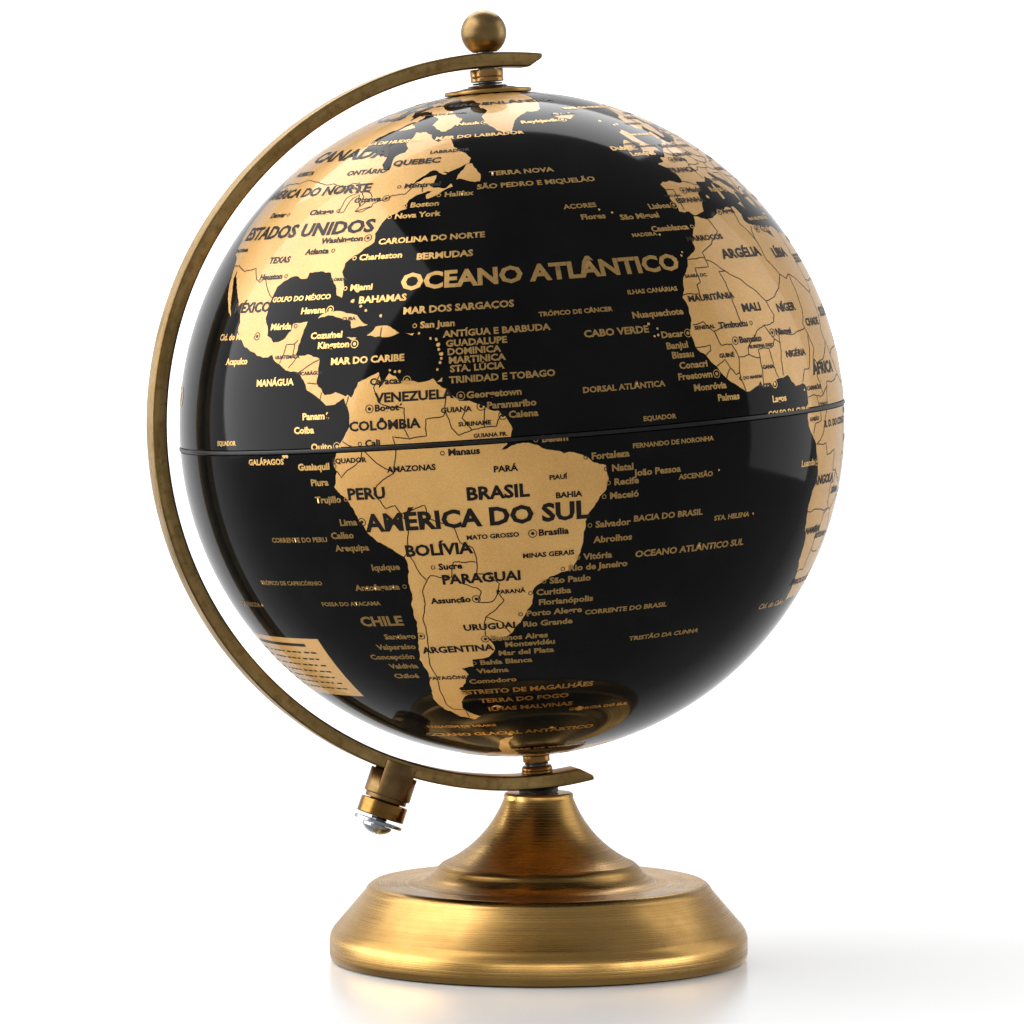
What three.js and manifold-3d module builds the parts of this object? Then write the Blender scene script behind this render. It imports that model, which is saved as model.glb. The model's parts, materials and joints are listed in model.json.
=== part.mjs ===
// Desktop globe on a spun brass stand. Millimetres, +Z up, origin on the table under the base's middle.
// The arm lies in the XZ plane and bulges towards -X. A steel rod on the polar axis ties the finial, the
// arm and the base's neck together, and the globe turns on it. A slotted boss on the arm is a second
// seat for the base: fitted there, the globe would lean as the Earth does.
import * as THREE from "three";
import { mergeVertices } from "three/addons/utils/BufferGeometryUtils.js";
import Module from "manifold-3d";

const wasm = await Module();
wasm.setup();

const degrees = Math.PI / 180;

// Overall
const globeRadius = 100;
const axisTilt = 4.3 * degrees; // the polar axis leans this far towards the arm's bulge
const seatTilt = 23.5 * degrees; // from the polar axis to the boss

// Fits
const faceGap = 0.3; // between faces that touch
const boreGap = 0.3; // radial, round the rod and the screws
const looseGap = 0.7; // radial, where a fit is slack
const washerChamfer = 0.1; // on the edges of thin washers

// Sides of round pieces
const smallSides = 20;
const middleSides = 28;
const wideSides = 40;

// Base
const baseRadius = 63.3;
const baseWall = 1.2;
const rimLow = 0.6; // the shell ends this far above the table
const rimFootInset = 0.5;
const rimFootHeight = 1.8;
const rimHeight = 6.6; // where the rim starts to curve in
const rimRound = point(2, 4.2);
const rimWidth = 13.3; // from the plate's edge out to the rim
const plateHeight = 23.6;
const plateDish = 0.3;
const plateRound = point(2.6, 2.6);
const coveRadius = 37.6; // where the cone's foot meets the plate
const shoulderRadius = 29.2; // where the cone turns down to its foot
const shoulderHeight = 29.3;
const shoulderRound = point(1.3, 1.2);
const coneSweep = 46 * degrees;
const coveSweep = 50 * degrees;
const neckRadius = 10.5;
const neckHeight = 50.7;
const neckRound = 0.8;
const padThickness = 1.4;
const bottomPlateThickness = 1.2;
const bottomPlateFit = 0.5; // radial, in the shell's skirt
const ballastRoom = 12.1; // between the weight and the shell's skirt
const ballastThickness = 9;
const ballastHoleRadius = 8;
const ballastChamfer = 1;
const plateScrewRadius = 2;
const plateScrewHeadRadius = 3.8;
const plateScrewHeadEdge = 0.3;
const plateScrewLength = 8;
const plateScrewPoint = 1; // the tip's taper
const plateScrewInset = 16; // from the weight's edge in to the screws
const plateScrewCount = 3;

// Rod, and what clamps the arm to the neck
const rodRadius = 2.5;
const taperWasherRadius = 6;
const taperWasherThin = 0.35; // on its thin side
const clampWasherRoom = 1.8; // between the clamp washer and the neck's inside
const clampWasherThickness = 2.6;
const springWasherRadius = 4.6;
const springWasherThickness = 1.2;
const springWasherSplit = 0.8;
const nutAcrossFlats = 8;
const nutThickness = 4;
const nutChamfer = 0.4;
const rodPastNut = 2.5;

// Arm
const armRoom = 6.6; // between the globe and the arm
const armThickness = 4.4;
const armWidth = 10;
const armOverhang = 16.6; // past the rod's centre, along the outside
const armBevel = 4.6; // how much shorter the inside is at each end
const armNose = 1.3; // blunt height of each end
const armSteps = 64;
const globeDrop = 0.65; // the globe's centre lies this far under the arm's

// Finial and the north end
const finialRadius = 6.85;
const finialFootRadius = 3.65;
const finialBoreDepth = 8.5;
const finialSteps = 9;
const spacerRadius = 5;
const spacerChamfer = 0.25;
const thrustWasherThickness = 0.45;
const northWasherRadius = 4.5;
const discRadius = 13.1;
const discRimThickness = 0.9;
const discLip = 0.25; // the lip's height over the rest of the rim
const discLipWidth = 1.2;
const discHubRadius = 5.9;
const discHubHeight = 2; // above the pole

// South end
const collarRadius = 4.8;
const collarTopRadius = 4.1;
const collarHeight = 2.1;
const southWasherRadius = 3.6;
const globeCollarRadius = 4.1;
const globeCollarChamfer = 0.3;

// Globe
const shellWall = 1.8;
const bandWidth = 1.1;
const bandProud = 0.3;
const bandDepth = 0.7;
const bandChamfer = 0.2;
const sleeveHeight = 12;
const sleeveWall = 1.6;
const sleeveChamfer = 0.3;
const landInset = 0.2; // the sleeve's seat is turned this much into the shell's inside
const landSpare = 0.5;
const bushNoseRadius = 4.5;
const bushFlangeRadius = 8;
const bushFlangeThickness = 1.6;
const bushTubeRadius = 4;
const bushLength = 12;

// Boss on the arm
const bossRadius = 7.15;
const bossCheek = 3.1; // how far the slot's cheeks reach up beside the arm
const bossBody = 7.6; // below the arm
const bossGroove = 1.4;
const bossGrooveRadius = 6.35;
const bossSpigotRadius = 4.6;
const bossEdge = 0.3;
const bossCollarRadius = 7.25;
const bossCollarLength = 4.8;
const bossCollarLip = 0.8; // the collar ends this far past the spigot
const bossScrewRadius = 2.5;
const bossScrewHeadRadius = 4.5;
const bossScrewHeadHeight = 2.9;
const bossScrewHeadEdge = 0.8;
const bossScrewShy = 0.9; // the screw's tip stops this far short of the arm's inside
const bossWasherRadius = 7.45;
const bossWasherThickness = 1;
const bossWasherChamfer = 0.15;
const bossWasherDrop = 1.1; // the screw stands loose, and its washer hangs this far below the collar
const recessWidth = 1.1;
const recessLength = 4.8;
const recessDepth = 1.5;

// Worked out, along the rod from the neck's top
const tiltRise = Math.tan(axisTilt);
const armInside = globeRadius + armRoom;
const armRadius = armInside + armThickness; // outside
const armLift = taperWasherRadius * tiltRise + taperWasherThin + 2 * faceGap;
const armCentre = armLift + armRadius;
const globeCentre = armCentre - globeDrop;
const boreRadius = rodRadius + boreGap;
const innerRadius = globeRadius - shellWall;

const finishes = {
  brushedBrass: new THREE.MeshStandardMaterial({ color: 0xb08a4a, roughness: 0.32, metalness: 1 }),
  antiqueBrass: new THREE.MeshStandardMaterial({ color: 0x7d6338, roughness: 0.42, metalness: 1 }),
  bronze: new THREE.MeshStandardMaterial({ color: 0x6e4a30, roughness: 0.45, metalness: 1 }),
  glossBlack: new THREE.MeshStandardMaterial({ color: 0x0b0c0b, roughness: 0.12, metalness: 0 }),
  satinBlack: new THREE.MeshStandardMaterial({ color: 0x1b1d1c, roughness: 0.4, metalness: 0 }),
  zincSteel: new THREE.MeshStandardMaterial({ color: 0xc4ccd2, roughness: 0.28, metalness: 1 }),
  plainSteel: new THREE.MeshStandardMaterial({ color: 0x8d9093, roughness: 0.4, metalness: 1 }),
  castIron: new THREE.MeshStandardMaterial({ color: 0x38393b, roughness: 0.7, metalness: 0.8 }),
  nylon: new THREE.MeshStandardMaterial({ color: 0x2a2825, roughness: 0.5, metalness: 0 }),
  palePlastic: new THREE.MeshStandardMaterial({ color: 0xd8d4c8, roughness: 0.5, metalness: 0 }),
  felt: new THREE.MeshStandardMaterial({ color: 0x101010, roughness: 0.95, metalness: 0 }),
};

// ---- Helpers ----

function point(x, y) {
  return new THREE.Vector2(x, y);
}

// Points on an arc from a to b that turns by an angle. A positive one bulges to the right of the way.
function arc(a, b, sweep, steps) {
  const half = a.distanceTo(b) / 2;
  const radius = half / Math.sin(sweep / 2);
  const along = b.clone().sub(a).normalize();
  const left = point(-along.y, along.x);
  const middle = a.clone().add(b).multiplyScalar(0.5);
  const centre = middle.addScaledVector(left, half / Math.tan(sweep / 2));
  const first = a.clone().sub(centre).divideScalar(radius).angle();
  return Array.from({ length: steps + 1 }, (_, i) => {
    const angle = first + (sweep * i) / steps;
    return point(centre.x + radius * Math.cos(angle), centre.y + radius * Math.sin(angle));
  });
}

// A profile moved to the right of its way.
function offset(profile, distance) {
  return profile.map((p, i) => {
    const before = profile[Math.max(0, i - 1)];
    const after = profile[Math.min(profile.length - 1, i + 1)];
    const along = after.clone().sub(before).normalize();
    return point(p.x + along.y * distance, p.y - along.x * distance);
  });
}

// A solid turned round Z. The profile holds (radius, height) points, counterclockwise. It starts and
// ends on the axis, or it is closed here.
function turned(profile, sides) {
  const open = profile[0].x > 0;
  const points = open ? [...profile, profile[0].clone()] : profile;
  return new THREE.LatheGeometry(points, sides).rotateX(Math.PI / 2);
}

function disc(radius, low, high, sides) {
  return turned([point(0, low), point(radius, low), point(radius, high), point(0, high)], sides);
}

// A washer between two heights, with its outer edges chamfered.
function ring(inner, outer, low, high, sides, chamfer) {
  const profile = [
    point(inner, low),
    point(outer - chamfer, low),
    point(outer, low + chamfer),
    point(outer, high - chamfer),
    point(outer - chamfer, high),
    point(inner, high),
  ];
  return turned(profile, sides);
}

function solid(geometry) {
  const bare = geometry.clone();
  bare.deleteAttribute("normal");
  bare.deleteAttribute("uv");
  const merged = mergeVertices(bare, 1e-4);
  const vertProperties = new Float32Array(merged.attributes.position.array);
  const triVerts = new Uint32Array(merged.index.array);
  return new wasm.Manifold(new wasm.Mesh({ numProp: 3, vertProperties, triVerts }));
}

function geometryOf(made) {
  const mesh = made.getMesh();
  const geometry = new THREE.BufferGeometry();
  geometry.setAttribute("position", new THREE.BufferAttribute(mesh.vertProperties, 3));
  geometry.setIndex(new THREE.BufferAttribute(mesh.triVerts, 1));
  geometry.computeVertexNormals();
  return geometry;
}

function cut(body, tools) {
  return geometryOf(tools.reduce((made, tool) => made.subtract(solid(tool)), solid(body)));
}

function block(x, y, z, centre) {
  return new THREE.BoxGeometry(x, y, z).translate(...centre);
}

// The two bars of a cross recess that opens at a height.
function crossRecess(height) {
  return [
    block(recessLength, recessWidth, 2 * recessDepth, [0, 0, height]),
    block(recessWidth, recessLength, 2 * recessDepth, [0, 0, height]),
  ];
}

function part(name, geometry, material) {
  const mesh = new THREE.Mesh(geometry, material);
  mesh.name = name;
  return mesh;
}

// ---- Base: stands level on the table ----

const skirtInside = baseRadius - baseWall;
const plateRadius = baseRadius - rimWidth;
const ballastRadius = skirtInside - ballastRoom;
const plateScrewCircle = ballastRadius - plateScrewInset;
const bottomPlateLow = padThickness + faceGap;
const bottomPlateTop = bottomPlateLow + bottomPlateThickness;
const ballastLow = bottomPlateTop + faceGap;

// The outside of the base, from the neck's hole down to the rim.
function baseOutline(detail) {
  const neckSide = point(neckRadius, neckHeight - neckRound);
  const cone = point(shoulderRadius, shoulderHeight);
  const coneFoot = point(coveRadius, plateHeight - plateDish);
  const plateEdge = point(plateRadius, plateHeight);
  const slopeTop = point(plateRadius + plateRound.x, plateHeight - plateRound.y);
  const slopeFoot = point(baseRadius - rimRound.x, rimHeight + rimRound.y);
  const slope = slopeTop.clone().sub(slopeFoot).angle() - Math.PI / 2; // away from upright
  return [
    point(rodRadius + looseGap, neckHeight),
    ...arc(point(neckRadius - neckRound, neckHeight), neckSide, -Math.PI / 2, detail),
    ...arc(point(neckRadius, neckSide.y - neckRound), cone, coneSweep, 4 * detail),
    ...arc(point(cone.x + shoulderRound.x, cone.y - shoulderRound.y), coneFoot, coveSweep, 2 * detail),
    ...arc(plateEdge, slopeTop, slope - Math.PI / 2, detail),
    ...arc(slopeFoot, point(baseRadius, rimHeight), -slope, detail),
    point(baseRadius, rimLow + rimFootHeight),
    point(baseRadius - rimFootInset, rimLow),
  ];
}

function baseShell() {
  const outside = baseOutline(2);
  const inside = offset(baseOutline(1), baseWall);
  inside[0].x = outside[0].x;
  inside[inside.length - 1].y = rimLow;
  const profile = [...inside, ...outside.reverse()];
  return part("base_shell", turned(profile, wideSides), finishes.brushedBrass);
}

function feltPad() {
  return part("felt_pad", disc(skirtInside - 3 * faceGap, 0, padThickness, wideSides), finishes.felt);
}

function plateScrewPlaces() {
  return Array.from({ length: plateScrewCount }, (_, i) => {
    const angle = (i * 2 * Math.PI) / plateScrewCount;
    return [plateScrewCircle * Math.cos(angle), plateScrewCircle * Math.sin(angle), 0];
  });
}

// A countersunk screw from its flat head up to its point, with room round it when it is a cutter.
function plateScrewShape(room) {
  const headTop = bottomPlateLow + plateScrewHeadEdge;
  const neck = headTop + plateScrewHeadRadius - plateScrewRadius;
  const tip = bottomPlateLow + plateScrewLength;
  const profile = [
    point(0, bottomPlateLow - room),
    point(plateScrewHeadRadius + room, bottomPlateLow - room),
    point(plateScrewHeadRadius + room, headTop),
    point(plateScrewRadius + room, neck),
    point(plateScrewRadius + room, tip - plateScrewPoint + room),
    point(plateScrewRadius - plateScrewPoint, tip + room),
    point(0, tip + room),
  ];
  return turned(profile, smallSides);
}

function plateScrewHoles() {
  return plateScrewPlaces().map((place) => plateScrewShape(boreGap).translate(...place));
}

function bottomPlate() {
  const plate = disc(skirtInside - bottomPlateFit, bottomPlateLow, bottomPlateTop, wideSides);
  return part("bottom_plate", cut(plate, plateScrewHoles()), finishes.plainSteel);
}

function ballast() {
  const top = ballastLow + ballastThickness;
  const weight = ring(ballastHoleRadius, ballastRadius, ballastLow, top, wideSides, ballastChamfer);
  return part("ballast_weight", cut(weight, plateScrewHoles()), finishes.castIron);
}

function plateScrews() {
  return plateScrewPlaces().map((place, i) => {
    const shape = cut(plateScrewShape(0), crossRecess(bottomPlateLow)).translate(...place);
    return part(`plate_screw_${i + 1}`, shape, finishes.zincSteel);
  });
}

// ---- On the rod: Z is the polar axis, and the origin is on the neck's top ----

// A disc with one face level with the table and the other square to the rod.
function taperedDisc(outer, levelHeight, squareHeight) {
  const reach = outer + 1;
  const levelAt = (x) => point(x, levelHeight - x * tiltRise);
  const squareCorners = [point(reach, squareHeight), point(-reach, squareHeight)];
  const outline = new THREE.Shape([levelAt(-reach), levelAt(reach), ...squareCorners]);
  const wedge = new THREE.ExtrudeGeometry(outline, { depth: 2 * reach, bevelEnabled: false })
    .rotateX(Math.PI / 2)
    .translate(0, reach, 0);
  const low = Math.min(levelHeight, squareHeight) - reach;
  const high = Math.max(levelHeight, squareHeight) + reach;
  const round = ring(boreRadius, outer, low, high, middleSides, washerChamfer);
  return geometryOf(solid(round).intersect(solid(wedge)));
}

function taperWasher() {
  const shape = taperedDisc(taperWasherRadius, faceGap, armLift - faceGap);
  return part("taper_washer", shape, finishes.satinBlack);
}

const clampWasherRadius = neckRadius - baseWall - clampWasherRoom;
const clampWasherTop = -baseWall - faceGap - clampWasherRadius * tiltRise;
const clampWasherLow = clampWasherTop - clampWasherThickness;
const springWasherTop = clampWasherLow - faceGap;
const springWasherLow = springWasherTop - springWasherThickness;
const nutTop = springWasherLow - faceGap;
const nutLow = nutTop - nutThickness;

function clampWasher() {
  const shape = taperedDisc(clampWasherRadius, -baseWall - faceGap, clampWasherLow);
  return part("clamp_washer", shape, finishes.plainSteel);
}

function springWasher() {
  const heights = [springWasherLow, springWasherTop];
  const whole = ring(boreRadius, springWasherRadius, ...heights, smallSides, washerChamfer);
  const length = 2 * springWasherRadius;
  const middle = (springWasherLow + springWasherTop) / 2;
  const split = block(length, springWasherSplit, 2 * springWasherThickness, [length / 2, 0, middle]);
  return part("clamp_spring_washer", cut(whole, [split]), finishes.zincSteel);
}

function clampNut() {
  const corner = nutAcrossFlats / 2 / Math.cos(Math.PI / 6);
  const hexagon = new THREE.CylinderGeometry(corner, corner, nutThickness, 6)
    .rotateX(Math.PI / 2)
    .translate(0, 0, (nutLow + nutTop) / 2);
  const round = ring(boreRadius, corner + nutChamfer / 2, nutLow, nutTop, smallSides, nutChamfer);
  return part("clamp_nut", geometryOf(solid(hexagon).intersect(solid(round))), finishes.zincSteel);
}

function axleRod() {
  const high = armCentre + armRadius + finialBoreDepth - faceGap;
  return part("axle_rod", disc(rodRadius, nutLow - rodPastNut, high, smallSides), finishes.plainSteel);
}

// ---- Arm ----

// A point at a radius round the arm's centre, by its angle from north towards -X.
function armPoint(radius, angle) {
  return point(-radius * Math.sin(angle), armCentre + radius * Math.cos(angle));
}

function meridianArm() {
  const outerEnd = armOverhang / armRadius;
  const innerEnd = (armOverhang - armBevel) / armInside;
  const sweep = (radius, end) =>
    Array.from({ length: armSteps + 1 }, (_, i) => {
      return armPoint(radius, -end + ((Math.PI + 2 * end) * i) / armSteps);
    });
  const outline = [
    ...sweep(armRadius, outerEnd),
    armPoint(armRadius - armNose, Math.PI + outerEnd),
    ...sweep(armInside, innerEnd).reverse(),
    armPoint(armRadius - armNose, -outerEnd),
  ];
  const flat = new THREE.Shape(outline);
  const bar = new THREE.ExtrudeGeometry(flat, { depth: armWidth, bevelEnabled: false })
    .rotateX(Math.PI / 2)
    .translate(0, armWidth / 2, 0);
  const past = 1;
  const southHole = disc(boreRadius, armLift - past, armLift + armThickness + past, smallSides);
  const northHole = southHole.clone().translate(0, 0, armRadius + armInside);
  const bossHole = disc(bossScrewRadius + boreGap, armInside - past, armRadius + past, smallSides)
    .rotateY(Math.PI + seatTilt)
    .translate(0, 0, armCentre);
  return part("meridian_arm", cut(bar, [southHole, northHole, bossHole]), finishes.antiqueBrass);
}

function ballFinial() {
  const foot = armCentre + armRadius + faceGap;
  const middle = foot + Math.sqrt(finialRadius ** 2 - finialFootRadius ** 2);
  const start = Math.asin((foot - middle) / finialRadius);
  const side = Array.from({ length: finialSteps }, (_, i) => {
    const angle = start + ((Math.PI / 2 - start) * i) / finialSteps;
    return point(finialRadius * Math.cos(angle), middle + finialRadius * Math.sin(angle));
  });
  const boreTop = armCentre + armRadius + finialBoreDepth;
  const profile = [
    point(0, boreTop),
    point(boreRadius, boreTop),
    point(boreRadius, foot),
    ...side,
    point(0, middle + finialRadius),
  ];
  return part("ball_finial", turned(profile, middleSides), finishes.brushedBrass);
}

// ---- Bearings between the arm and the globe ----

const discTop = globeCentre + globeRadius + discHubHeight;
const northWasherLow = discTop + faceGap;
const northWasherTop = northWasherLow + thrustWasherThickness;
const armUnderside = armCentre + Math.sqrt(armInside ** 2 - spacerRadius ** 2);
const collarLow = armCentre - Math.sqrt(armInside ** 2 - collarRadius ** 2) + faceGap;
const collarTop = collarLow + collarHeight;
const southWasherLow = collarTop + faceGap;
const southWasherTop = southWasherLow + thrustWasherThickness;

function northThrustWasher() {
  const heights = [northWasherLow, northWasherTop];
  const shape = ring(boreRadius, northWasherRadius, ...heights, smallSides, washerChamfer);
  return part("north_thrust_washer", shape, finishes.nylon);
}

function northSpacer() {
  const low = northWasherTop + faceGap;
  const shape = ring(boreRadius, spacerRadius, low, armUnderside - faceGap, middleSides, spacerChamfer);
  return part("north_spacer", shape, finishes.brushedBrass);
}

function southCollar() {
  const profile = [
    point(boreRadius, collarLow),
    ...arc(point(collarRadius, collarLow), point(collarTopRadius, collarTop), 60 * degrees, 4),
    point(boreRadius, collarTop),
  ];
  return part("south_collar", turned(profile, middleSides), finishes.brushedBrass);
}

function southThrustWasher() {
  const heights = [southWasherLow, southWasherTop];
  const shape = ring(boreRadius, southWasherRadius, ...heights, smallSides, washerChamfer);
  return part("south_thrust_washer", shape, finishes.nylon);
}

// ---- Globe: centred on itself, Z north ----

// A point over the globe's surface, by its distance from the axis and its height over the surface.
function overGlobe(radius, lift) {
  return point(radius, Math.sqrt((globeRadius + lift) ** 2 - radius ** 2));
}

// Points on a meridian of a sphere from a height above the equator to a distance from the axis.
function meridian(sphereRadius, height, radius, steps) {
  const from = Math.asin(height / sphereRadius);
  const to = Math.acos(radius / sphereRadius);
  return Array.from({ length: steps + 1 }, (_, i) => {
    const angle = from + ((to - from) * i) / steps;
    return point(sphereRadius * Math.cos(angle), sphereRadius * Math.sin(angle));
  });
}

const bushSeatRadius = bushFlangeRadius + landSpare;
const bushSeatHeight = Math.sqrt(innerRadius ** 2 - bushSeatRadius ** 2);
const sleeveSeatRadius = innerRadius - landInset;

function hemisphere() {
  const holeRadius = bushNoseRadius + faceGap;
  const sleeveSeatTop = sleeveHeight / 2 + landSpare;
  const rebateRadius = globeRadius - bandDepth - faceGap;
  const rebateTop = bandWidth / 2 + faceGap;
  const profile = [
    point(sleeveSeatRadius, faceGap / 2),
    point(rebateRadius, faceGap / 2),
    point(rebateRadius, rebateTop),
    ...meridian(globeRadius, rebateTop, holeRadius, 12),
    point(holeRadius, bushSeatHeight),
    ...meridian(innerRadius, sleeveSeatTop + landInset, bushSeatRadius, 8).reverse(),
    point(sleeveSeatRadius, sleeveSeatTop),
  ];
  return turned(profile, wideSides);
}

function hemispheres() {
  const north = part("north_hemisphere", hemisphere(), finishes.glossBlack);
  const south = part("south_hemisphere", hemisphere().rotateX(Math.PI), finishes.glossBlack);
  return [north, south];
}

function equatorBand() {
  const half = bandWidth / 2;
  const inner = globeRadius - bandDepth;
  const shape = ring(inner, globeRadius + bandProud, -half, half, wideSides, bandChamfer);
  return part("equator_band", shape, finishes.satinBlack);
}

function equatorSleeve() {
  const outer = sleeveSeatRadius - faceGap;
  const half = sleeveHeight / 2;
  const shape = ring(outer - sleeveWall, outer, -half, half, wideSides, sleeveChamfer);
  return part("equator_sleeve", shape, finishes.palePlastic);
}

const bushNoseTop = Math.sqrt(globeRadius ** 2 - bushNoseRadius ** 2);

function bush() {
  const flangeTop = bushSeatHeight - faceGap;
  const flangeLow = flangeTop - bushFlangeThickness;
  const tubeEnd = bushNoseTop - bushLength;
  const profile = [
    point(boreRadius, tubeEnd),
    point(bushTubeRadius, tubeEnd),
    point(bushTubeRadius, flangeLow),
    point(bushFlangeRadius, flangeLow),
    point(bushFlangeRadius, flangeTop),
    point(bushNoseRadius, flangeTop),
    point(bushNoseRadius, bushNoseTop),
    point(boreRadius, bushNoseTop),
  ];
  return turned(profile, smallSides);
}

function bushes() {
  const north = part("north_bush", bush(), finishes.palePlastic);
  const south = part("south_bush", bush().rotateX(Math.PI), finishes.palePlastic);
  return [north, south];
}

// A low domed disc on the north pole, under the spacer.
function polarDisc() {
  const rim = faceGap + discRimThickness;
  const bed = Math.sqrt((globeRadius + faceGap) ** 2 - bushNoseRadius ** 2);
  const profile = [
    point(boreRadius, bed),
    point(bushNoseRadius, bed),
    overGlobe((bushNoseRadius + discRadius) / 2, faceGap),
    overGlobe(discRadius, faceGap),
    overGlobe(discRadius, rim),
    overGlobe(discRadius - discLipWidth / 4, rim + discLip),
    overGlobe(discRadius - discLipWidth, rim + discLip),
    overGlobe(discRadius - discLipWidth, rim),
    point(discHubRadius, globeRadius + discHubHeight - discLip),
    point(discHubRadius - discLip, globeRadius + discHubHeight),
    point(boreRadius, globeRadius + discHubHeight),
  ];
  return part("polar_disc", turned(profile, middleSides), finishes.bronze);
}

// The collar that the globe stands on, over the south thrust washer.
function globeCollar() {
  const low = southWasherTop + faceGap - globeCentre;
  const high = -globeRadius - faceGap;
  const shape = ring(boreRadius, globeCollarRadius, low, high, middleSides, globeCollarChamfer);
  return part("globe_collar", shape, finishes.brushedBrass);
}

// ---- Boss: Z runs out from the arm's centre ----

const bossFoot = armRadius + bossBody;
const bossCollarLow = bossFoot + bossGroove + faceGap;
const bossCollarEnd = bossCollarLow + bossCollarLength;
const bossWasherLow = bossCollarEnd + bossWasherDrop;
const bossScrewSeat = bossWasherLow + bossWasherThickness + faceGap;
const bossBore = bossScrewRadius + boreGap;

function mountBoss() {
  const top = armRadius - bossCheek;
  const grooveEnd = bossFoot + bossGroove;
  const spigotEnd = bossCollarEnd - bossCollarLip;
  const profile = [
    point(bossBore, top),
    point(bossRadius, top),
    point(bossRadius, bossFoot - bossEdge),
    point(bossRadius - bossEdge, bossFoot),
    point(bossGrooveRadius, bossFoot),
    point(bossGrooveRadius, grooveEnd),
    point(bossSpigotRadius, grooveEnd),
    point(bossSpigotRadius, spigotEnd),
    point(bossBore, spigotEnd),
  ];
  const slotFloor = armRadius + faceGap;
  const slotDepth = 2 * bossCheek;
  const slotMiddle = slotFloor - slotDepth / 2;
  const slot = block(4 * bossRadius, armWidth + 2 * faceGap, slotDepth, [0, 0, slotMiddle]);
  return part("mount_boss", cut(turned(profile, middleSides), [slot]), finishes.antiqueBrass);
}

function bossCollar() {
  const inner = bossSpigotRadius + boreGap;
  const shape = ring(inner, bossCollarRadius, bossCollarLow, bossCollarEnd, middleSides, bossEdge);
  return part("boss_collar", shape, finishes.brushedBrass);
}

function bossWasher() {
  const top = bossWasherLow + bossWasherThickness;
  const shape = ring(bossBore, bossWasherRadius, bossWasherLow, top, middleSides, bossWasherChamfer);
  return part("boss_washer", shape, finishes.zincSteel);
}

function bossScrew() {
  const tip = armInside + bossScrewShy;
  const crown = bossScrewSeat + bossScrewHeadHeight;
  const edge = point(bossScrewHeadRadius, bossScrewSeat + bossScrewHeadEdge);
  const sweep = 2 * Math.atan2(crown - edge.y, bossScrewHeadRadius);
  const dome = arc(edge, point(0, crown), sweep, 5).slice(0, -1);
  const profile = [
    point(0, tip),
    point(bossScrewRadius - bossEdge, tip),
    point(bossScrewRadius, tip + bossEdge),
    point(bossScrewRadius, bossScrewSeat),
    point(bossScrewHeadRadius, bossScrewSeat),
    ...dome,
    point(0, crown),
  ];
  return part("boss_screw", cut(turned(profile, smallSides), crossRecess(crown)), finishes.zincSteel);
}

// ---- Assembly ----

const globe = new THREE.Group();
globe.position.z = globeCentre;
globe.add(...hemispheres(), equatorBand(), equatorSleeve(), ...bushes(), polarDisc(), globeCollar());

const boss = new THREE.Group();
boss.position.z = armCentre;
boss.rotation.y = Math.PI + seatTilt;
boss.add(mountBoss(), bossCollar(), bossWasher(), bossScrew());

const onRod = new THREE.Group();
onRod.position.z = neckHeight;
onRod.rotation.y = -axisTilt;
onRod.add(taperWasher(), clampWasher(), springWasher(), clampNut(), axleRod());
onRod.add(meridianArm(), ballFinial(), northThrustWasher(), northSpacer());
onRod.add(southCollar(), southThrustWasher(), boss, globe);

const deskGlobe = new THREE.Group();
deskGlobe.add(baseShell(), feltPad(), bottomPlate(), ballast(), ...plateScrews(), onRod);

export default deskGlobe;
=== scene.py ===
"""Looks for the desktop globe on a stand: a gloss black globe with a metallic gold map, in an antiqued
brass arm on a spun brass base. Metres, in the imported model's frame."""
import json
import math
import random

import bmesh
import bpy
from mathutils import Matrix, Vector
from mathutils.geometry import delaunay_2d_cdt


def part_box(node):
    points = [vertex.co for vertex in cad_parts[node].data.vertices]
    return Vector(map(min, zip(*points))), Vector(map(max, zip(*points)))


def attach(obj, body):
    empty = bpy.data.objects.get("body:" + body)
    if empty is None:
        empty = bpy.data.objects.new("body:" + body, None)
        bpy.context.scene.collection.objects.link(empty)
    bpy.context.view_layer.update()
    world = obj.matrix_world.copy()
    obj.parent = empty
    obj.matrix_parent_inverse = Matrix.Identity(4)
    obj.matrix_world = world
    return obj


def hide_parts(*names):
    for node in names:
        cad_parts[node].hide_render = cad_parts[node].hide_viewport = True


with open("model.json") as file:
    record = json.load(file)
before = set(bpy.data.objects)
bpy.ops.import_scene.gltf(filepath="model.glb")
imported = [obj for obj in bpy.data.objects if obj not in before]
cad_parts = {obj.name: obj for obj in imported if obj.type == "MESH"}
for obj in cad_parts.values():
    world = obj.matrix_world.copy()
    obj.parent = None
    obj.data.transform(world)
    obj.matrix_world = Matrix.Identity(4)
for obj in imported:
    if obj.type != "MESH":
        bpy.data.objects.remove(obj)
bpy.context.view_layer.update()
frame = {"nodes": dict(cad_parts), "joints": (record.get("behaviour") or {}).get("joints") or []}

MM = 0.001


# ---- Frames and sizes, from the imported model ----

def joint(name):
    """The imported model's joint of this name."""
    return next(j for j in frame["joints"] if j["name"] == name)


def middle(node):
    """The middle of a CAD node's box."""
    low, high = (Vector(corner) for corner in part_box(node))
    return (low + high) / 2


def size(node):
    """The sides of a CAD node's box."""
    low, high = (Vector(corner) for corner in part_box(node))
    return high - low


POLE = Vector(joint("globe_spin")["axis"]).normalized()
NECK_TOP = Vector(joint("globe_spin")["pos_m"])
GLOBE_CENTRE = middle("equator_band")


def placed(origin, axis):
    """A frame whose Z is the axis and whose Y is the row's Y."""
    z = axis.normalized()
    y = Vector((0, 1, 0))
    x = y.cross(z).normalized()
    turn = Matrix((x, y, z)).transposed().to_4x4()
    return Matrix.Translation(origin) @ turn


# Sizes in millimetres, for the lathe profiles.
RADIUS = 100
SHELL_INSIDE = 98.2
SEAM_HALF = 0.85
POLE_HOLE = 4.8
ROD_HOLE = 2.9
ARM_INNER = 106.6
GLOBE_DROP = 0.65  # the globe's centre lies this far under the arm's

GLOBE_RADIUS = RADIUS * MM

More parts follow.
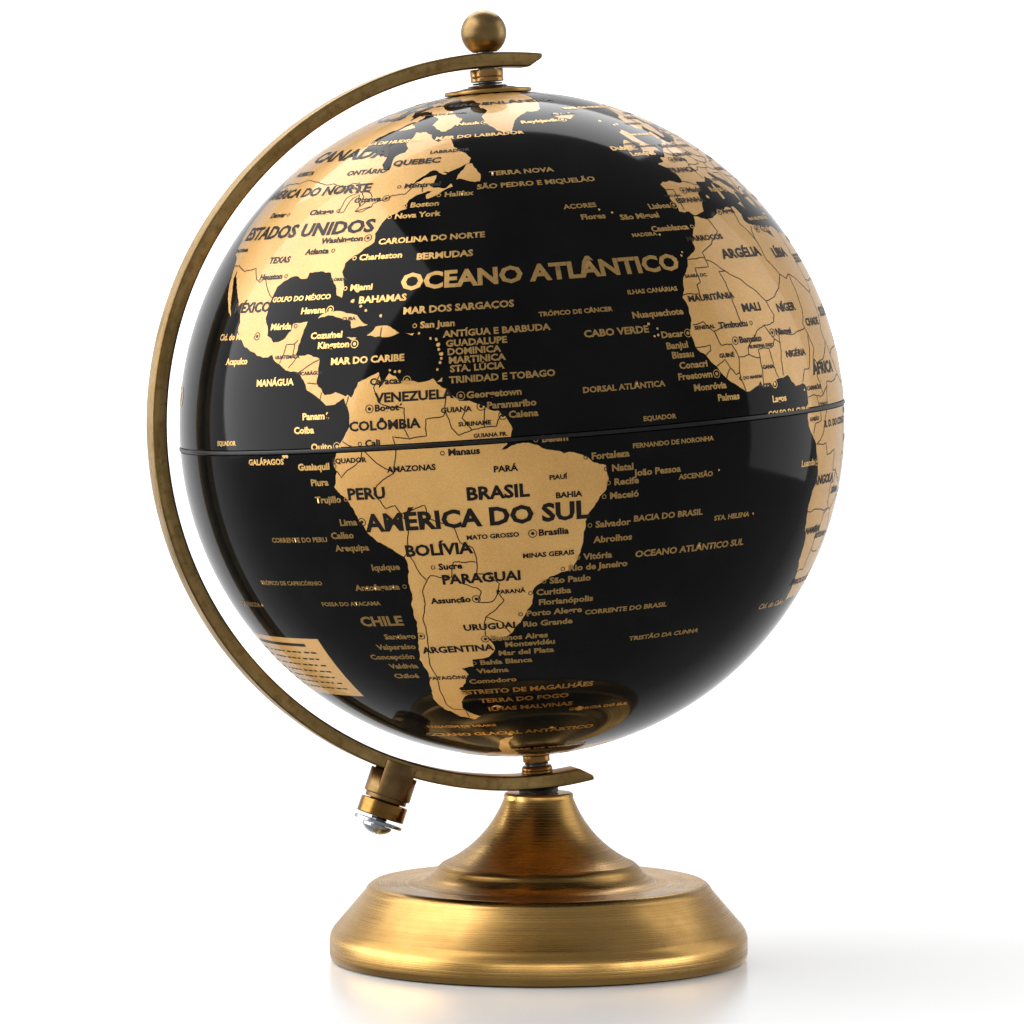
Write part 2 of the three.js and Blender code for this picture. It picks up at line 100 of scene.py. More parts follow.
ARM_INSIDE = ARM_INNER * MM
ARM_OUTSIDE = 111 * MM
ARM_WIDTH = size("meridian_arm").y
ARM_CENTRE = GLOBE_CENTRE + POLE * (GLOBE_DROP * MM)
SEAT_TILT = math.radians(23.5)
BOSS_AXIS = Matrix.Rotation(SEAT_TILT, 3, "Y") @ -POLE

ROW = Matrix.Identity(4)
GLOBE = placed(GLOBE_CENTRE, POLE)
ARM = placed(ARM_CENTRE, POLE)
ON_ROD = placed(NECK_TOP, POLE)
BOSS = placed(ARM_CENTRE, BOSS_AXIS)

CAMERA_AZIMUTH = math.radians(-16)
CENTRE_LONGITUDE = -50.5  # faces the camera at rest
PRIME_MERIDIAN = math.degrees(CAMERA_AZIMUTH) - 90 - CENTRE_LONGITUDE


# ---- The map: outlines and borders as "longitude latitude" pairs in degrees ----

LANDS = {
    "north_america": """-168 65.6 -164 66.5 -162 66.2 -163.5 67.2 -166.5 68.4 -163 69.4 -160 70.6 -156.5
        71.3 -152 70.8 -147 70.1 -141 69.6 -136.5 69 -134 69.5 -129 70 -127.5 70.4 -124.5 70 -121 69.7
        -117 69 -114 68.3 -109.5 67.9 -107.5 68.2 -104 68 -98.5 67.8 -96 68.2 -94.5 69.2 -95.5 70 -94.5
        71.9 -92.5 71 -90.5 69.3 -88 68.8 -87.5 67.3 -85.5 69.2 -82 69.6 -81.3 68.5 -82.5 66.5 -86 66
        -87.5 64.7 -90 63.8 -93.5 62 -94.7 60 -94.5 58.7 -92.5 57 -90 57 -87.5 56.3 -85 55.3 -82.3 55.1
        -82.2 53 -80.5 51.4 -78.8 51.3 -79 53 -79.5 54.7 -76.8 56 -76.6 57.3 -78.5 58.8 -77.5 60.5 -78
        62.4 -74 62.3 -71 61.2 -69.5 59.5 -67 58.5 -65.5 59.8 -64.6 60.3 -62.5 58.3 -61.4 56.5 -58.5 54.8
        -56 53 -56.3 51.6 -60 50.2 -66.5 50.2 -69 48.5 -71 46.9 -67.5 48.6 -64.5 49.1 -64.8 47.5 -65 46.2
        -62 45.7 -60.5 46.8 -60 46 -63 44.6 -65.8 43.6 -66.2 44.5 -64.5 45.4 -67 45 -70 43.7 -70.7 42.5
        -70 41.8 -71.5 41.4 -74 40.6 -75.3 38.5 -76 37 -75.7 35.3 -77.8 34 -79.5 33 -81.2 31.6 -81.4 30
        -80.3 27.5 -80.3 25.3 -81.5 25.8 -82.7 28 -84 30 -86.5 30.4 -89.3 30.3 -89.5 29.2 -91.8 29.6 -94
        29.6 -97 28 -97.5 26 -97.8 22.5 -96.3 19.4 -94.5 18.2 -92 18.6 -90.5 20 -90.3 21.2 -87 21.5 -87.6
        19.5 -88.3 17.5 -88.7 15.8 -86 15.9 -83.3 15 -83.5 13 -83.7 11 -82 9 -79.9 9.4 -77.2 8.6 -77.2
        7.6 -78.4 8.3 -80 7.4 -81.7 7.3 -83 8.4 -85.7 10 -87.7 13 -91.5 14 -94.2 16.1 -96.5 15.7 -99.8
        16.8 -104 19 -105.5 20.5 -105.4 22 -108 25 -109.4 26.7 -112.5 29.5 -114.8 31.7 -114.6 30 -112.8
        28 -111 25 -109.5 23 -112 25 -114.5 27.8 -115.8 30 -117.1 32.5 -118.5 34 -120.6 34.6 -122.4 37.5
        -124 40 -124.2 43 -124.1 46.5 -124.7 48.3 -122.5 48 -123 49 -127.5 51 -130 54.5 -133.5 57.5 -137
        58.8 -140 59.8 -146 60.8 -150 60 -151.5 61 -153.5 59.5 -157 57.5 -161 55.5 -164.5 54.7 -160.5
        56.5 -157.5 58.7 -162 58.7 -164.5 60.5 -166 62 -161 64 -161 64.6 -165 64.5""",
    "south_america": """-77.6 8.9 -76.9 8.4 -75.6 10.8 -74.2 11.3 -71.9 12.3 -71.5 10.9 -71.9 9.6 -70.9
        10.6 -70 12 -68 10.6 -65 10.2 -62.5 10.7 -61.8 9.8 -60 8.5 -58.3 6.8 -55 6 -52 4.8 -51 3.8 -50
        1.8 -50.4 0.2 -52 -1.5 -48.5 -0.6 -47.5 -0.7 -44.7 -2 -42 -2.8 -39 -3.3 -37.2 -4.7 -35.2 -5.3
        -34.8 -7.5 -35.3 -9.3 -37.2 -11.5 -38.6 -13.2 -39 -15.5 -39.4 -17.8 -40.2 -20 -41.2 -22.2 -44
        -23.1 -46.4 -24.1 -48.5 -25.8 -48.7 -28.2 -50.3 -30.5 -52.3 -32.7 -53.7 -34.2 -56 -34.9 -58.3
        -34.2 -57.2 -35.6 -56.8 -37 -58 -38.3 -62 -39 -62.2 -40.7 -65 -41 -63.8 -42.6 -65.3 -44.7 -67.4
        -46 -65.9 -47.9 -68.5 -50 -69 -51.8 -68.4 -52.5 -65.2 -54.7 -67.5 -55.6 -71 -54.5 -74.3 -52 -75.5
        -48.8 -74.2 -45 -73 -42 -73.6 -38.5 -72.5 -35.5 -71.5 -32 -71.4 -29 -70.5 -25 -70.1 -21 -70.4
        -18.3 -73 -16.5 -76.2 -14 -77.3 -12 -79 -8.3 -81.2 -6 -80.3 -3.5 -80.9 -2.2 -80 0.3 -78.8 1.6
        -77.3 3.8 -77.4 6.2 -78 7.5 -78.2 8.2""",
    "africa": """-5.9 35.8 -2 35.1 3 36.9 10 37.3 11 35.5 10.2 34.2 15 32.4 19.5 30.4 20.2 32.5 23 32.6
        25 31.6 29 30.9 31.5 31.4 33 31.2 33 29.7 33.6 27.8 35.5 24 37.2 21 37.3 19 38.6 18 40 15 43.2 12
        43.3 11.5 45 10.5 51.2 11.9 50.8 9.4 48 4.5 44 1 41 -2 39.3 -4.8 38.9 -6.7 40.5 -10.7 40.6 -15 37
        -17.8 34.9 -20 35.5 -23.8 32.8 -25.8 32.6 -28 30.5 -31 27 -33.7 22 -34 18.5 -34.2 18.2 -32 16.8
        -28.8 15 -26.5 14.4 -22.8 12 -18 11.8 -16 13.7 -12 13.2 -8.8 12.2 -5.8 9 -1.2 9.6 1 9.6 3.9 8.5
        4.6 6 4.3 4 6.3 1 5.9 -2 4.8 -4.5 5.2 -7.6 4.4 -9.3 5.5 -11.5 6.9 -13.2 9 -15 11 -16.8 12.5 -17.4
        14.7 -16.4 17 -16.3 19.3 -17 21 -15.8 23.8 -14 26 -12.9 27.9 -10 29.5 -9.7 31.3 -7.5 33.6 -6.2 35""",
    "eurasia": """-9 37 -8.8 38.7 -9.3 39.5 -8.8 42 -9.2 43.2 -8 43.7 -4 43.4 -1.6 43.4 -1.2 45 -2 47
        -4.6 48 -1.6 48.7 -1.5 49.6 0.2 49.6 1.6 50.4 2.5 51.1 4.5 52.5 6.5 53.5 8.5 53.8 8.6 55.5 8.3
        56.9 10.5 57.6 10.3 56 9.9 54.7 11 54 14 54 18.5 54.7 21 55.5 21.1 57 22 57.6 24 57.1 24 58.8
        27.5 59.4 30 59.9 28 60.5 23 59.9 21.4 61 21.5 63 25.3 65 24 65.8 21.6 65 21.3 64 17.5 62 17.2
        60.6 18.8 59.8 16.6 58 16 56.3 14.3 55.5 12.8 55.6 11.2 58.8 10.5 59.3 8 58.1 5.5 58.8 5 61 6
        62.6 10 64 13 66 15 68.3 19 69.9 24 71 28 71 31 70.3 33 69.4 41 67.5 40.5 66.3 34 66.7 35 64.3
        37.5 64 40 65 44 66 43.8 68.4 47 67 54 68.5 60.5 69.7 65 69 67 68.5 69 68.8 67 71 69.5 73 72.8
        72.7 72.7 69 73.5 67.5 75 72.5 80 73.5 87 75 95 76.1 104 77.6 107 76.5 113 75.7 113 74 119 73 127
        73.5 130 71 140 72.5 150 71.5 160 69.7 170 70 176 69.7 180 69 180 65 177.5 64.7 179.5 62.5 174
        61.7 170 60 165 60 163.5 58 162 56 160 53 156.8 51 155.8 55 156 57 161.5 60.5 163 62.3 157 61.7
        154 59.6 148 59.5 142.5 59.3 136 55 141 53 140.3 48.5 138 46 135 43.5 132 43.2 130.7 42.2 127.6
        40 129.3 36.5 129 35.2 126.5 34.4 126.7 37.5 125 38 125 39.8 121.5 39 121.5 40.8 118 39 119 37.3
        122.4 37.3 119.3 35 121.8 31.8 121.9 29.5 119.5 25.8 117 23.5 113.5 22.2 110.5 21.2 108.3 21.6
        106 19.5 108.8 15.5 109.3 12 106.8 10.3 104.9 8.7 104.5 10.3 102 12.4 100.7 13.4 99.5 11 100.3
        8.4 103.3 5.5 103.6 1.4 101 3 98.5 8 98.6 12 97.5 16.6 94.4 16 94 19.5 91.8 22.4 88.5 21.7 86.8
        21 85 19.5 82.3 16.7 80.1 15 80.2 12 79 9.3 77.5 8.1 76.2 10 74.5 14 72.9 19 72.7 21 70.5 20.9 69
        22.4 67 24.7 61.6 25.1 57.2 26 56.3 27.1 51.5 27.9 50 30.2 48 30 48.3 28.5 50.2 26.5 51.5 25.3 54
        24.2 56.3 26.2 56.6 24.3 59.8 22.5 57.8 19 55 17 52 15.6 45 12.8 43.3 12.7 42.7 16 39.2 21 37 25
        34.9 28 34.8 29.5 34.2 27.8 32.5 29.8 32.3 31.2 34.3 31.4 35.5 33.5 36 36.5 32.5 36.1 30.6 36.7
        27.5 36.9 26.3 39 27 40.2 29.5 40.8 31 41.2 35 42 38 41 41.5 41.6 39 44 36.8 45.3 39 47.2 35 46.3
        36.5 45.3 33.7 44.5 32.5 45.4 33 46.2 30.7 46.5 28.6 43.8 27.6 42.5 28.8 41.5 26.1 40.8 23.8 40.7
        22.8 40.3 24 38 22.8 36.6 21.2 37.8 19.4 41 19.5 42 15.5 44 13.6 45.2 12.3 45.3 12.6 44 16 41.8
        18.4 40.2 16.8 40.5 16 38 15.7 40 12.4 41.7 10.3 43.8 8.8 44.4 6.5 43.1 3.1 43.1 3 41.8 0.5 40.6
        0 38.8 -2 36.7 -5.5 36 -6.4 36.9""",
    "chukotka": "-180 69 -175 67.3 -170 66.1 -173 64.4 -177 64.8 -180 65",
    "australia": """113.5 -22 114 -26.5 115.5 -31.5 115.2 -34.2 118 -35 123.5 -33.9 129 -31.7 134 -32.5
        136 -35 138 -34 138.2 -35.6 140.5 -38 144 -38.6 147 -38.8 150 -37.3 151.3 -33.5 153.2 -30 153.3
        -26 151 -23.5 148.5 -20 146 -18.5 145.4 -15 142.6 -10.8 141.5 -13.5 140.8 -17.4 139 -17.4 136
        -15.5 136.8 -12.2 132.5 -11.4 130 -13.5 129.3 -15 126.5 -14 123.8 -16.5 122 -18.3 118.5 -20.3""",
    "antarctica": """-180 -78.5 -165 -78.3 -155 -77.2 -147 -76 -135 -74.5 -120 -73.8 -105 -74.5 -100
        -72.8 -90 -73 -80 -73.5 -70 -73 -67.5 -69 -64.5 -65.5 -58 -63.3 -60 -65 -62.5 -69 -61 -74.5 -66
        -77.5 -50 -78 -36 -78 -28 -76 -17 -72.5 -5 -71 10 -70 25 -70 38 -69.5 50 -66.8 57 -67 70 -68.8 76
        -69.3 88 -66.6 100 -66.3 112 -66 130 -66.2 145 -67.2 160 -69.5 170 -71.8 166 -76 163 -78 180
        -78.5 180 -87.2 -180 -87.2""",
    "greenland": """-73 78.3 -66 80.5 -60 82 -45 82.6 -32 83.6 -20 82 -12 81.3 -18 80 -19 77 -20 75 -22
        72 -24 70.5 -26 68.5 -33 67.8 -38 65.7 -41 63.5 -43 60 -48 61 -51.5 64 -53.5 67 -51 69.5 -54.5 71
        -56 73.5 -60 76 -68 76""",
    "baffin": """-64.5 63 -61.5 66.5 -68 70 -77 73 -85 73.7 -89 71 -79 69.8 -72.5 67 -73 64.5 -66 62""",
    "victoria": "-117 69.5 -105 69.2 -101.5 70 -105 73 -114 73 -118 71",
    "banks": "-125 71.5 -120 71.6 -118 73 -122 74.4",
    "ellesmere": "-90 76.4 -80 76.3 -75 78.5 -62 82.3 -70 83 -85 82.3 -92 81 -86 79",
    "devon": "-92 76.3 -80 75.7 -80 74.6 -92 74.7",
    "melville": "-116 75.2 -106 74.9 -105 76.3 -112 76.5",
    "somerset": "-100 72.2 -92.5 72.7 -91 74 -99 73.9",
    "southampton": "-87 63.6 -82.5 63.9 -80.5 64.3 -84 66",
    "newfoundland": "-59.3 47.7 -57 51.4 -55.6 51.5 -53.3 48.5 -53.5 46.8 -56 47",
    "anticosti": "-64.3 49.8 -61.8 49.2 -62.5 49.1",
    "vancouver": "-128.3 50.7 -123.4 48.5 -125.5 50.2",
    "cuba": "-84.8 21.9 -82.5 23.1 -79.5 22.8 -74.3 20.3 -77.5 19.9 -77.7 21 -82 22.3",
    "hispaniola": "-74.4 18.5 -72.8 19.9 -70 19.7 -68.4 18.6 -71.2 18",
    "jamaica": "-78.3 18.4 -76.3 18.2 -77.2 17.8",
    "puerto_rico": "-67.2 18.5 -65.7 18.4 -66 18",
    "trinidad": "-61.8 10.1 -60.9 10.8 -61 10.1",
    "falklands": "-61 -51.8 -59.5 -51.3 -57.9 -51.7 -59 -52.3",
    "iceland": "-22.5 63.9 -18.5 63.4 -13.8 64.8 -15 66.2 -20 66 -22.3 66.3 -24 65.5",
    "great_britain": """-5.5 50.1 1.3 51.2 1.6 52.8 -0.2 53.6 -1.8 55.5 -2 57.6 -3.3 58.6 -5.7 57.7 -4.8
        54.8 -3 53.8 -4.7 52.8 -5.1 51.8 -3 51.4""",
    "ireland": "-6.1 52.2 -6 54 -7.5 55.3 -9.8 54 -10.2 52",
    "svalbard": "11 79 16 76.7 21 78.5 26 80 18 80",
    "novaya_zemlya": "52 71 57 70.7 58 73 68 76.7 56 75",
    "severnaya_zemlya": "95 79.2 103 78.3 98 81",
    "new_siberia": "138 75 150 75 143 76",
    "sicily": "12.5 38 15.5 38.2 15 36.7",
    "sardinia": "8.3 39 9.5 39.2 9.4 42.8 8.5 42",
    "crete": "23.6 35.5 26.2 35.3 24.8 34.9",
    "cyprus": "32.4 34.9 34.4 35.6 33.6 34.8",
    "madagascar": "49.3 -12 50.4 -15.7 47.2 -24.8 45 -25.5 43.4 -22 44.4 -16.5 47 -15.2",
    "sri_lanka": "79.8 8 80.2 9.7 81.8 7.3 80.5 6",
    "sumatra": "95.4 5.6 98 4.5 103.5 0 106 -3 105.7 -5.8 102 -4 98.7 1.7",
    "java": "105.3 -6.7 108.5 -6.7 112.7 -7 114.4 -8.6 108 -7.8",
    "timor": "118 -8.3 122.9 -8.3 126.8 -8.4 123.8 -10.2 119 -9.2",
    "borneo": "109 1.7 111.5 2.7 114 4.7 117 7 119 5 117.6 1 116 -3.8 111 -3",
    "sulawesi": "119.5 -5.5 120.5 -2.7 122.5 -4.5 121.3 -1 125 1.5 120 0.8 118.8 -2.8",
    "new_guinea": """131 -0.8 134.3 -0.9 135 -3.2 138 -1.7 145 -4.3 147.8 -6 150.8 -10.5 146.5 -8.8 143
        -9.2 138.5 -8.2 138 -5.6 133 -4""",
    "new_britain": "148.5 -5.7 152.2 -4.2 150 -6.3",
    "luzon": "120 16 120.7 18.5 122.2 18.3 121.6 15.8 124 13 120.8 14",
    "mindanao": "122 7 125.4 9.8 126.3 7 125.4 5.7",
    "taiwan": "120.2 23 121.6 25.2 120.9 22",
    "hainan": "109 19 110.6 20.1 110.3 18.6",
    "honshu": """130.9 34 132.8 35.5 136 35.8 137 37.2 139.5 38.5 140.3 41.2 141.8 39.5 140.8 35.7 137.5
        34.7 135.6 33.6""",
    "kyushu": "129.8 33 131.8 33.5 131.2 31.4 130.2 31.3",
    "hokkaido": "140.2 42 141.7 45.4 145.3 43.3 143.2 42.1",
    "sakhalin": "142 46 142 53.5 143.2 54 143.7 49",
    "north_island": "172.8 -34.5 175.5 -36.8 178.3 -37.7 177 -39.5 175.3 -41.6 173.8 -39.3 175 -38",
    "south_island": "172.7 -40.6 174.3 -41.7 171 -44.3 170.5 -46 168.3 -46.6 166.6 -45.8 171 -42.5",
    "tasmania": "144.8 -40.8 148.2 -41 147.5 -43.2 146 -43.4",
    "new_caledonia": "164 -20.2 167 -22.2 165.5 -21.7",
}
LAKES = {
    "caspian": "50 45 53 46.8 51.3 44.5 53.5 41 53.9 37 50 37.4 49 40.5 47.5 43",
    "aral": "58.5 44.5 61 46.2 61 44.2",
}
# Small islands: longitude, latitude and radius in degrees.
ISLETS = """-77.9 24.6 0.4 -77.2 26.4 0.4 -76.1 23.6 0.3 -75 22.8 0.3 -72 21.7 0.3 -64.8 18.3 0.25 -62.8
    17.3 0.25 -61.8 17.1 0.3 -61.5 16.2 0.35 -61.4 15.4 0.3 -61 14.6 0.35 -61 13.9 0.28 -61.2 13.2 0.25
    -61.7 12.1 0.25 -59.5 13.2 0.25 -68.2 12.2 0.25 -69 12.2 0.25 -69.9 12.5 0.22 -81.3 19.3 0.2 -64.7
    32.3 0.3 -91 -0.5 0.5 -90.3 -0.7 0.3 -78.9 -33.7 0.2 -109.4 -27.1 0.25 -14.4 -7.9 0.2 -5.7 -16 0.2
    -12.3 -37.1 0.25 -36.7 -54.3 0.7 -32.4 -3.9 0.2 -23.6 15 0.25 -24.3 14.9 0.2 -23.5 16.1 0.2 -25 17
    0.25 -28.1 38.6 0.25 -25.5 37.8 0.25 -16.9 32.7 0.25 -18 28.6 0.2 -16.6 28.3 0.3 -15.6 27.9 0.28 -14
    28.5 0.25 -13.5 29.1 0.2 6.6 0.2 0.25 8.7 3.5 0.25 3 39.7 0.4 55.5 -21.1 0.35 57.6 -20.3 0.35 43.3
    -11.7 0.3 55.5 -4.6 0.25 73.5 4.2 0.25 92.8 12.3 0.4 105.6 -10.5 0.2 -155.5 19.6 0.6 -157.9 21.5 0.3
    -159.5 22 0.3 -172 -13.6 0.4 178 -17.8 0.7 -175.2 -21.1 0.3 167.5 -15.5 0.5 160 -9.6 0.6 157 -8 0.4
    -149.5 -17.7 0.4 144.8 13.5 0.3 134.5 7.5 0.25 -169.5 16.7 0.2 69.3 -49.3 0.6 -153.5 57.5 0.7 -176 52
    0.4 -170 53 0.4 147 44.3 0.4 10.5 42.8 0.2 -7 62 0.4 -3 60.3 0.3 -1.2 60.5 0.3 19 57.5 0.5 22.5 58.5
    0.4 -44 -60.6 0.4 -58.5 -62.2 0.5"""
